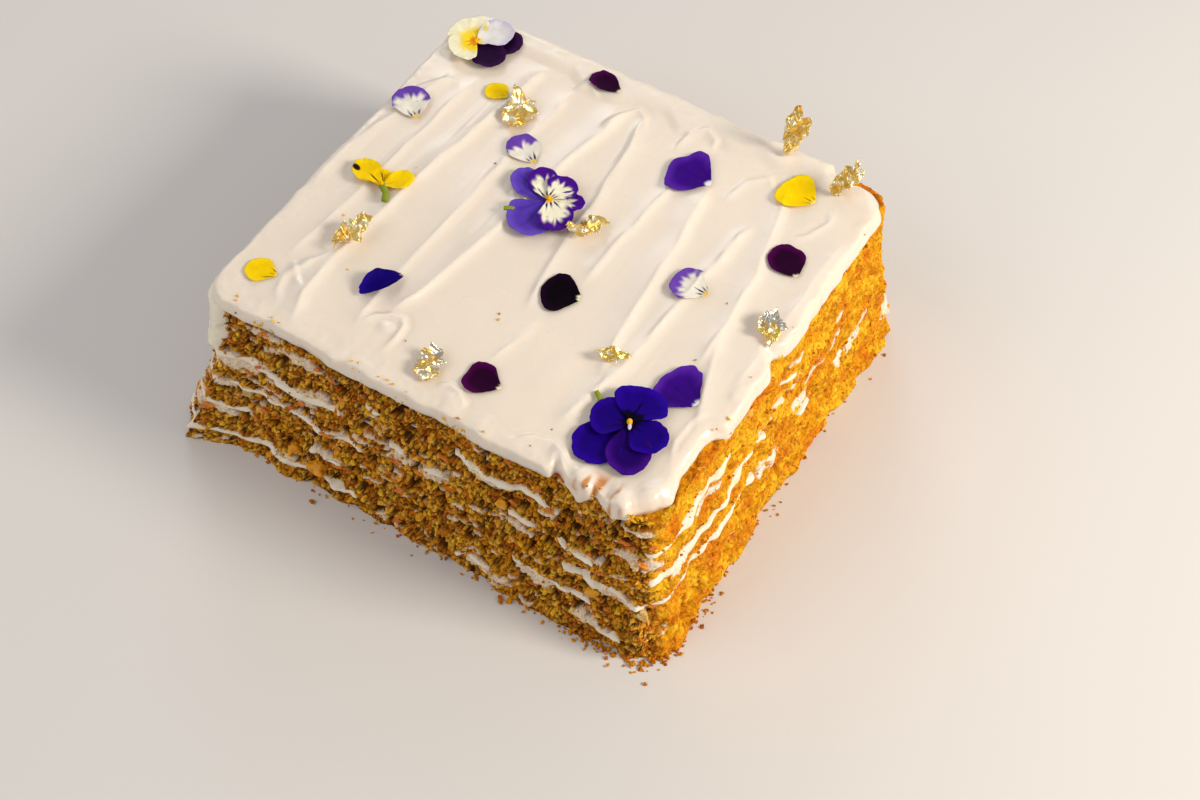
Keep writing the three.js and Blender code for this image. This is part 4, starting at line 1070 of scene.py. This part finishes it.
def about(axis, degrees):
    """A turn about an axis."""
    c, s = math.cos(math.radians(degrees)), math.sin(math.radians(degrees))
    return np.array({
        "x": ((1, 0, 0), (0, c, -s), (0, s, c)),
        "y": ((c, 0, s), (0, 1, 0), (-s, 0, c)),
        "z": ((c, -s, 0), (s, c, 0), (0, 0, 1)),
    }[axis])


def sheet_mesh(rings, thick):
    """Points and faces of a closed sheet from rings of its middle surface, the middle first."""
    middle, rows, sides = rings[0][:1], len(rings) - 1, len(rings[1])
    share = np.repeat(np.linspace(0, 1, rows + 1)[1:], sides)
    half = thick / 2 * (1 - 0.7 * share**6)
    half = np.concatenate([[thick / 2], half])
    body = np.concatenate([middle, *rings[1:]])
    up = np.array([0, 0, 1])
    points = np.concatenate([body + half[:, None] * up, body - half[:, None] * up])
    count = len(body)
    bands = loop_faces(rows, sides)[:, ::-1] + 1
    first = fan(np.arange(sides) + 1, 0, True)
    rim = np.arange(sides) + 1 + (rows - 1) * sides
    wall = np.stack([rim + count, np.roll(rim, -1) + count, np.roll(rim, -1), rim], -1)
    return points, [first, bands, first[:, ::-1] + count, bands[:, ::-1] + count, wall]


def petal_shape(long, wide, cup, fold, seed, kind, frill=0.25, corners=()):
    """A petal along +X from its claw: its points, faces and tint."""
    angle = 2 * math.pi * np.arange(PETAL_SIDES) / PETAL_SIDES
    share = np.linspace(0, 1, PETAL_ROWS + 1)[:, None]
    c, s = np.cos(angle), np.sin(angle)
    pinch = 1 - 0.68 * np.maximum(0, -c) ** 1.3
    ruffle = 1 + 0.05 * noise(2 * c, 2 * s, seed, 11) + 0.03 * noise(5 * c, 5 * s, seed, 101) * share**2
    for turn, out, spread in corners:
        away = (np.degrees(angle) - turn + 180) % 360 - 180
        ruffle = ruffle + out * np.exp(-np.abs(away / spread) ** 1.5) * share**2
    x = long / 2 * (1 + c * share * ruffle)
    y = wide / 2 * s * pinch * share * ruffle
    curl = cup * share**2 * (0.8 + 0.4 * noise(1.6 * c, 1.6 * s, seed, 12))
    z = curl + fold * (y / (wide / 2)) ** 2
    z = z + frill * share**3 * (noise(3.5 * c, 3.5 * s, seed, 102) + 0.5 * noise(9 * c, 9 * s, seed, 103))
    u = np.hypot(x, y) / long
    phi = np.arctan2(y, x + 0.12 * long)
    z = z + 0.05 * np.cos(phi * 26) * smooth(share, 0.2, 0.9)
    rings = [np.stack([x[n], y[n], z[n]], -1) for n in range(PETAL_ROWS + 1)]
    points, faces = sheet_mesh(rings, PETAL_THICK)

    body, edge, claw, vein, reach, claw_reach = KINDS[kind]
    body, edge, claw, vein = (linear(*v) for v in (body, edge, claw, vein))
    u = u + 0.05 * noise(4 * c, 4 * s, seed, 104)
    mottle = noise(x / 2, y / 2, seed, 105)[..., None]
    if kind in RIMMED:
        ray = 0.05 * np.cos(phi * 24 + 2 * noise(phi * 3, 0, seed, 108))
        rim = smooth(u + ray + 0.12 * noise(3 * c, 3 * s, seed, 106), 0.6, 0.78)
        rim = np.maximum(rim, smooth(share + ray, 0.62, 0.82) * smooth(u, 0.38, 0.52) * (kind == "face"))
    elif kind == "pale_yellow":
        rim = smooth(u + 0.08 * noise(3 * c, 3 * s, seed, 106), 0.42, 0.78)
    else:
        rim = smooth(share, 0.55, 1.0) * smooth(u, 0.3, 0.7)
    tint = body + (edge - body) * rim[..., None]
    wander = phi * (19 if kind in RIMMED else 15) + 0.7 * noise(u * 3, phi * 4, seed, 107)
    reach = reach * (0.85 + 0.3 * noise(phi * 5, 0, seed, 109))
    start = 0.6 - 0.9 * smooth(0.3 - u, 0, 0.16) * (kind in RIMMED)
    line = smooth(np.cos(wander), start, start + 0.38) * smooth(reach - u, 0, 0.2) * smooth(u, 0.08, 0.14)
    line = line * smooth(0.75 - np.abs(phi), 0, 0.2) if kind in RIMMED or "yellow" in kind else line
    if kind in ("violet", "back_violet", "plum", "black", "blue", "dusk", "deep_back"):
        line = line * 0.45
    tint = tint + (vein - tint) * line[..., None]
    tint = tint + (claw - tint) * smooth(claw_reach - u, -0.03, 0.05)[..., None]
    if kind == "yellow_spot":
        spot = smooth(1 - np.hypot((x - 11.5) / 2.0, (y - 1.8) / 1.2), 0, 0.3)
        tint = tint + (linear(30, 16, 12) - tint) * spot[..., None]
    tint = tint * (1 + 0.1 * mottle)
    tint = np.concatenate([tint[0][:1], tint[1:].reshape(-1, 3)])
    # The underside is painted a little darker than the top, a painted shade.
    return points, faces, np.concatenate([tint, tint * 0.92])


def drape(points, share, low=0.06):
    """Lets a topping sink towards the icing, as soft things do."""
    floor = icing_height(points[:, 0], points[:, 1])
    gap = points[:, 2] - floor
    points[:, 2] = floor + np.maximum(gap - share * np.maximum(gap - 0.2, 0), low)
    return points


def lean_of(x, y, turn, long):
    """How a petal leans, to lie along the icing's slope."""
    c, s = math.cos(math.radians(turn)), math.sin(math.radians(turn))

    def height(u, v):
        return float(icing_height(np.array(x + u * c - v * s), np.array(y + u * s + v * c), fine=False))

    along = math.degrees(math.atan((height(long, 0) - height(0, 0)) / long))
    rise = height(long / 2, long / 3) - height(long / 2, -long / 3)
    across = math.degrees(math.atan(rise / (long / 1.5)))
    return about("x", 0.7 * across) @ about("y", -0.7 * along)


def place(points, x, y, turn, tilt, node):
    """Turns, leans and moves a topping to where its solid is."""
    points = points @ (about("z", turn) @ tilt).T
    points[:, 2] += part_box(node)[0][2] / MM - points[:, 2].min()
    return points + np.array([x, y, 0])


def join(parts):
    """One list of points, faces and tints from several."""
    points, faces, tints, total = [], [], [], 0
    for p, f, t in parts:
        points.append(p)
        tints.append(t)
        faces += [q + total for q in f]
        total += len(p)
    return np.concatenate(points), faces, np.concatenate(tints)


def ball(detail):
    """Corners and triangles of a round body of radius 1."""
    made = bpy.data.meshes.new("ball")
    shape = bmesh.new()
    bmesh.ops.create_icosphere(shape, subdivisions=detail, radius=1)
    shape.to_mesh(made)
    shape.free()
    corners = np.array([v.co[:] for v in made.vertices])
    triangles = np.array([p.vertices[:] for p in made.polygons])
    bpy.data.meshes.remove(made)
    return corners, triangles


BALL, BALL_FACES = ball(2)
FINE_BALL, FINE_FACES = ball(4)


def tube(path, radius, tint):
    """A stem of nearly even width along a path."""
    path = np.asarray(path, float)
    ways = np.gradient(path, axis=0)
    ways /= np.linalg.norm(ways, axis=1)[:, None]
    across = np.cross(ways, (0, 0, 1.0))
    across /= np.linalg.norm(across, axis=1)[:, None]
    over = np.cross(across, ways)
    sides = STEM_SIDES
    turn = 2 * math.pi * np.arange(sides) / sides
    width = radius * (1 + 0.12 * noise(np.arange(len(path)) * 0.9, 0, 0, 111))
    loops = (path[:, None] + width[:, None, None] * (np.cos(turn)[None, :, None] * across[:, None]
             + np.sin(turn)[None, :, None] * over[:, None]))
    points = np.concatenate([loops.reshape(-1, 3), path[:1], path[-1:]])
    total = len(path) * sides
    faces = [loop_faces(len(path), sides), fan(np.arange(sides), total, False),
             fan(np.arange(sides) + total - sides, total + 1, True)]
    return points, faces, np.tile(tint, (len(points), 1))


def petals():
    """The loose petals."""
    for n, (name, x, y, turn, long, wide, cup, fold, kind) in enumerate(PETALS):
        corners = CORNERS.get(name, ())
        points, faces, tint = petal_shape(long, wide, cup, fold, n * 3.1, kind, corners=corners)
        node = f"petal_{name}"
        points = place(points, x, y, turn, lean_of(x, y, turn, long), node)
        points = drape(points, 0.25 if kind == "blue" else 0.55)
        slot = PETAL_SLOTS[name.split("_")[0]]
        mesh(f"{name}_leaf", points, faces, LOOKS["petal"], [node], slot, tint=tint)


def in_one_colour(points, *code):
    """A round body in one colour, as a part to join."""
    return points, [FINE_FACES], np.tile(linear(*code), (len(points), 1))


def viola_stem(start, end, radius):
    """A stem with a slight bow."""
    a, b = np.array(start, float), np.array(end, float)
    t = np.linspace(0, 1, 14)[:, None]
    bow = np.array([0.5, 0.5, 0.0]) * np.sin(math.pi * t)
    return tube(a + (b - a) * t + bow, radius, linear(136, 152, 48))


def violas():
    """The whole violas: their petals, the eye, and the stem where it shows."""
    for n, (name, x, y, eye, leaves, stem) in enumerate(VIOLAS):
        parts = []
        for i, (turn, long, wide, height, kind) in enumerate(leaves):
            seed = n * 5.9 + i * 1.7
            points, faces, tint = petal_shape(long, wide, VIOLA_CUP, 0.3, seed, kind, frill=0.45)
            points = points @ about("z", turn).T + np.array([0, 0, height])
            parts.append((points, faces, tint))
        knob = FINE_BALL * np.array([eye * 0.62, eye * 0.5, eye * 0.75]) + np.array([0, 0, 2.7])
        parts.append(in_one_colour(knob @ about("z", 300).T, 244, 184, 22))
        if name == "front":
            tip = FINE_BALL * np.array([0.55, 1.1, 0.45])
            tip = tip @ about("z", 25).T + np.array([0.9, -1.5, 2.9])
            parts.append(in_one_colour(tip, 214, 202, 226))
        if stem:
            parts.append(viola_stem(*stem))
        points, faces, tint = join(parts)
        node = f"viola_{name}"
        points[:, 2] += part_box(node)[0][2] / MM - points[:, 2].min()
        points = drape(points + np.array([x, y, 0]), 0.3)
        mesh(f"bloom_{name}", points, faces, LOOKS["petal"], [node], VIOLA_SLOTS[name], tint=tint)


def creased(x, y, seed):
    """Height of a sheet folded along straight creases in several directions."""
    total = 0
    for n in range(CREASES):
        turn = math.pi * hashed(n, seed, 0, 121)
        pitch = 3.0 + 4.5 * hashed(n, seed, 1, 121)
        phase = (x * math.cos(turn) + y * math.sin(turn)) / pitch + 9 * hashed(n, seed, 2, 121)
        total = total + pitch * 0.17 * (2 * np.abs(2 * (phase - np.floor(phase + 0.5))) - 1)
    return total


def gold_leaf():
    """The flakes of gold leaf: torn sheets, folded from corner to corner and creased."""
    for n, (x, y, rx, ry, turn, lean, crumple) in enumerate(GOLD):
        k = np.arange(GOLD_SIDES + 1) % GOLD_SIDES
        at = np.arange(GOLD_POINTS) / GOLD_POINTS * GOLD_SIDES
        knots = []
        for share, row in ((0.5, 1), (1.0, 2)):
            reach = share * (0.78 + 0.45 * hashed(k, n + 1, row, 13))
            z = crumple * (2 * hashed(k, n + 1, row, 14) - 1) * share
            turn_k = 2 * math.pi * k / GOLD_SIDES
            corner = np.stack([rx * np.cos(turn_k) * reach, ry * np.sin(turn_k) * reach, z], -1)
            sides = (np.interp(at, np.arange(GOLD_SIDES + 1), values) for values in corner.T)
            knots.append(np.stack(list(sides), -1))
        rings = []
        for t in np.linspace(0, 1, GOLD_ROWS + 1):
            ring = knots[0] * t * 2 if t < 0.5 else knots[0] + (knots[1] - knots[0]) * (t - 0.5) * 2
            px, py, _ = ring.T
            ring[:, 2] += 0.85 * creased(px, py, n) + 0.06 * creased(3 * px, 3 * py, n + 9)
            torn = 1 + t**4 * (0.14 * noise(at * 2.1, n, 0, 123) + 0.1 * noise(at * 6, n, 0, 124))
            ring[:, :2] *= torn[:, None]
            rings.append(ring)
        points, faces = sheet_mesh(rings, GOLD_THICK)
        points = place(points, x, y, turn, about("x", lean), f"gold_{n + 1}")
        if lean < GOLD_LYING:
            points = drape(points, 0.3)
        px, py, pz = points.T
        tone = noise(px / 1.6, py / 1.6, pz + n, 126)[:, None]
        gold, pale = linear(253, 212, 112), linear(255, 246, 222)
        tint = gold * (1 + 0.15 * tone) + (pale - gold) * smooth(tone, -0.1, 0.6)
        if n + 1 in SILVERED:
            back = noise(px / 2.4, py / 2.4, pz + n, 128)
            tint = toward(tint, "silver", 0.85 * smooth(back + (py - y) / 8, -0.1, 0.3))
        mesh(f"leaf_{n + 1}", points, faces, LOOKS["gold"], [f"gold_{n + 1}"], "gold_leaf", tint=tint)


def scatter(name, centres, sizes, tints, look, slot, frames=None, stretch=(1, 1, 1), rough=0.7):
    """Many small lumps in one piece, each turned its own way and a little different."""
    count = len(centres)
    if frames is None:
        frames = np.linalg.qr(rng.normal(size=(count, 3, 3)))[0]
    lump = BALL[None] * (1 + rough * (rng.random((count, len(BALL), 1)) - 0.5))
    lump = lump * np.array(stretch) * sizes[:, None, None] * (0.65 + 0.7 * rng.random((count, 1, 3)))
    points = centres[:, None] + np.einsum("nij,nkj->nki", frames, lump)
    points[..., 2] = np.maximum(points[..., 2], 0)
    faces = BALL_FACES[None] + (np.arange(count) * len(BALL))[:, None, None]
    tint = np.repeat(tints, len(BALL), 0) * (0.85 + 0.3 * rng.random((count * len(BALL), 1)))
    mesh(name, points.reshape(-1, 3), [faces.reshape(-1, 3)], look, (), slot, smoothed=False, tint=tint)


def strewn(count, low, high, weights):
    """Random places on the sides: stations and heights, more of them on some sides."""
    ring = side_ring
    share = sum(w * np.clip(ring.facing(side), 0, 1) for side, w in weights.items()) + 0.02
    pick = rng.choice(len(ring.x), count, p=share / share.sum())
    return Ring(np.arctan2(ring.y[pick], ring.x[pick])), low + (high - low) * rng.random(count)


def outward(ring):
    """The way out of the block at each station."""
    return np.stack([ring.nx, ring.ny, 0 * ring.nx], -1)


def crust(ring, z):
    """Points on the finished crumb of the sides."""
    p = ring.out(side_offset(ring.x, ring.y, z), z)
    out = crumb(ring, z, p, dab_mask(ring, z, p))[0]
    return p + out[:, None] * outward(ring)


def either(count, share, one, other):
    """One of two shades for each of many things."""
    return np.where(rng.random((count, 1)) < share, SHADES[one], SHADES[other])


def crumb_sizes(count, log_size, spread, low, high):
    """Radii of crumbs, most of them near the usual one, whose logarithm is given."""
    return np.clip(rng.lognormal(log_size, spread, count), low, high)


def clinging_crumbs():
    """Crumbs that cling to the sides."""
    ring, z = strewn(2300, 0.8, 59.5, dict(front=1.0, left=0.8, right=0.5, back=0.4))
    size = crumb_sizes(len(z), -1.15, 0.4, 0.15, 0.9)
    centres = crust(ring, z) + 0.15 * outward(ring)
    kinds = rng.random(len(z))[:, None]
    tint = np.where(kinds < 0.75, SHADES["gold"], SHADES["brown"])
    tint = np.where(kinds < 0.4, SHADES["tan"], tint)
    scatter("clinging_crumbs", centres, size, tint, LOOKS["crumbs"], "sponge")


def carrot_shreds():
    """Shreds of carrot that lie along the sides."""
    ring, z = strewn(210, 2.0, 58.0, dict(front=1.0, left=0.8, right=0.25, back=0.3))
    size = 0.42 + 0.3 * rng.random(len(z))
    normal = outward(ring)
    lean = rng.normal(0, 0.5, len(z))[:, None]
    along = np.cos(lean) * np.cross((0, 0, 1.0), normal) + np.sin(lean) * np.array([0, 0, 1.0])
    frames = np.stack([along, np.cross(normal, along), normal], -1)
    tint = SHADES["carrot"] + (SHADES["fruit"] - SHADES["carrot"]) * 0.5 * rng.random((len(z), 1))
    centres = crust(ring, z) - 0.1 * normal
    scatter("carrot_shreds", centres, size, tint, LOOKS["fruit"], "sponge", frames, (3.2, 1.4, 0.8), 0.8)


def fallen_crumbs():
    """Crumbs that fell round the foot, most of them by the front right corner."""
    ring, z = strewn(1500, 0.0, 0.1, dict(front=1.0, left=0.25, right=0.8, back=0.2))
    near = np.exp(-(((ring.x - 72) / 30) ** 2 + ((ring.y + 70) / 30) ** 2))
    keep = rng.random(len(z)) < 0.12 + 0.88 * near
    ring = Ring(np.arctan2(ring.y[keep], ring.x[keep]))
    size = crumb_sizes(keep.sum(), -1.05, 0.42, 0.15, 1.0)
    away = flare_at(ring.y) - 0.6 + rng.exponential(1.3, keep.sum()).clip(0, 6)
    tint = either(len(size), 0.6, "gold", "brown")
    scatter("fallen_crumbs", ring.out(away, size * 0.5), size, tint, LOOKS["crumbs"], "sponge",
            stretch=(1.3, 1, 0.8), rough=0.9)


def edge_crumbs():
    """Crumbs on the icing's edge."""
    low = ICING_TOP - 4.5
    ring, z = strewn(420, low, ICING_TOP - 1.2, dict(front=1.0, left=0.2, right=0.15, back=0.1))
    keep = rng.random(len(z)) < smooth(ring.noise(6, 0, 127), -0.3, 0.5)
    ring, z = Ring(np.arctan2(ring.y[keep], ring.x[keep])), z[keep]
    size = crumb_sizes(len(z), -1.2, 0.35, 0.15, 0.6)
    centres = ring.out(GAP + 0.3 + 0.1 * rng.random(len(z)) - 0.28 * (z - ICING_TOP + 4.5), z)
    tint = either(len(z), 0.5, "light", "tan")
    scatter("edge_crumbs", centres, size, tint, LOOKS["crumbs"], "icing")


def icing_specks():
    """Crumbs and bits of carrot on the icing."""
    x, y, carrot = np.array(SPECKS, float).T
    size = 0.25 + 0.25 * rng.random(len(x))
    centres = np.stack([x, y, icing_height(x, y) + 0.1], -1)
    tint = np.where(carrot[:, None] > 0, SHADES["stain"], SHADES["light"])
    scatter("icing_specks", centres, size, tint, LOOKS["crumbs"], "icing", stretch=(1.5, 0.9, 0.6))


def lumps():
    """Pieces of candied fruit and nut that show in the sides."""
    for kind in ("fruit", "nut"):
        parts = []
        for n, (side, at, height, wide, deep, high, what) in enumerate(LUMPS):
            if what != kind:
                continue
            nx, ny = SIDES[side]
            place_x, place_y = (at, ny * DEPTH / 2) if ny else (nx * WIDTH / 2, at)
            ring = Ring(np.array([math.atan2(place_y, place_x)]))
            centre = crust(ring, np.array([float(height)]))[0]
            bx, by, bz = FINE_BALL.T
            rough = 1
            for share, fine, seed in ((0.4, 1.3, 131), (0.2, 3, 134), (0.07, 7, 132)):
                rough = rough + share * noise(bx * fine, by * fine, bz * fine + n, seed)
            size = np.array([wide, deep, high]) if ny else np.array([deep, wide, high])
            points = FINE_BALL * rough[:, None] * size + centre
            tone = noise(*points.T / 1.5, 133)[:, None]
            tint = SHADES[kind] * (1 + 0.3 * tone)
            parts.append((points, [FINE_FACES], tint))
        points, faces, tint = join(parts)
        look = LOOKS["fruit" if kind == "fruit" else "crumbs"]
        mesh(f"{kind}_bits", points, faces, look, (), "sponge", tint=tint)


for layer in range(LAST_LAYER + 1):
    sponge(layer)
for layer in range(LAST_LAYER):
    cream(layer)
icing()
corner_smear()
petals()
violas()
gold_leaf()
clinging_crumbs()
carrot_shreds()
fallen_crumbs()
edge_crumbs()
icing_specks()
lumps()


def sky():
    """An even light from everywhere."""
    world = bpy.data.worlds.new("studio")
    world.use_nodes = True
    background = world.node_tree.nodes["Background"]
    background.inputs["Color"].default_value = SKY
    background.inputs["Strength"].default_value = SKY_STRENGTH
    bpy.context.scene.world = world


def pale_floor():
    """A plain floor to stand on."""
    h = FLOOR_HALF
    floor = bpy.data.meshes.new("floor")
    floor.from_pydata([(-h, -h, 0), (h, -h, 0), (h, h, 0), (-h, h, 0)], [], [(0, 1, 2, 3)])
    pale = bpy.data.materials.new("floor")
    pale.use_nodes = True
    shader = pale.node_tree.nodes["Principled BSDF"]
    shader.inputs["Base Color"].default_value = FLOOR_COLOUR
    shader.inputs["Roughness"].default_value = FLOOR_ROUGHNESS
    floor.materials.append(pale)
    plane = bpy.data.objects.new("floor", floor)
    bpy.context.scene.collection.objects.link(plane)


def softbox(name, at, target, size, power, colour):
    """A square lamp that faces its target."""
    data = bpy.data.lights.new(name, "AREA")
    data.size = size
    data.energy = power
    data.color = colour
    lamp = bpy.data.objects.new(name, data)
    lamp.location = at
    x, y, z = np.array(target) - np.array(at)
    lamp.rotation_euler = (math.atan2(math.hypot(x, y), -z), 0, math.atan2(-x, y))
    bpy.context.scene.collection.objects.link(lamp)


def photo_camera():
    """The camera where the photo was taken from."""
    data = bpy.data.cameras.new("camera")
    data.sensor_width = SENSOR_WIDTH
    data.lens = LENS
    camera = bpy.data.objects.new("camera", data)
    camera.location = CAMERA_PLACE
    camera.rotation_euler = (math.radians(90 - CAMERA_DOWN), 0, math.radians(CAMERA_TURN))
    bpy.context.scene.collection.objects.link(camera)
    bpy.context.scene.camera = camera
    bpy.context.scene.view_settings.view_transform = "Standard"


sky()
pale_floor()
for lamp, setting in LAMPS.items():
    softbox(lamp, **setting)
photo_camera()
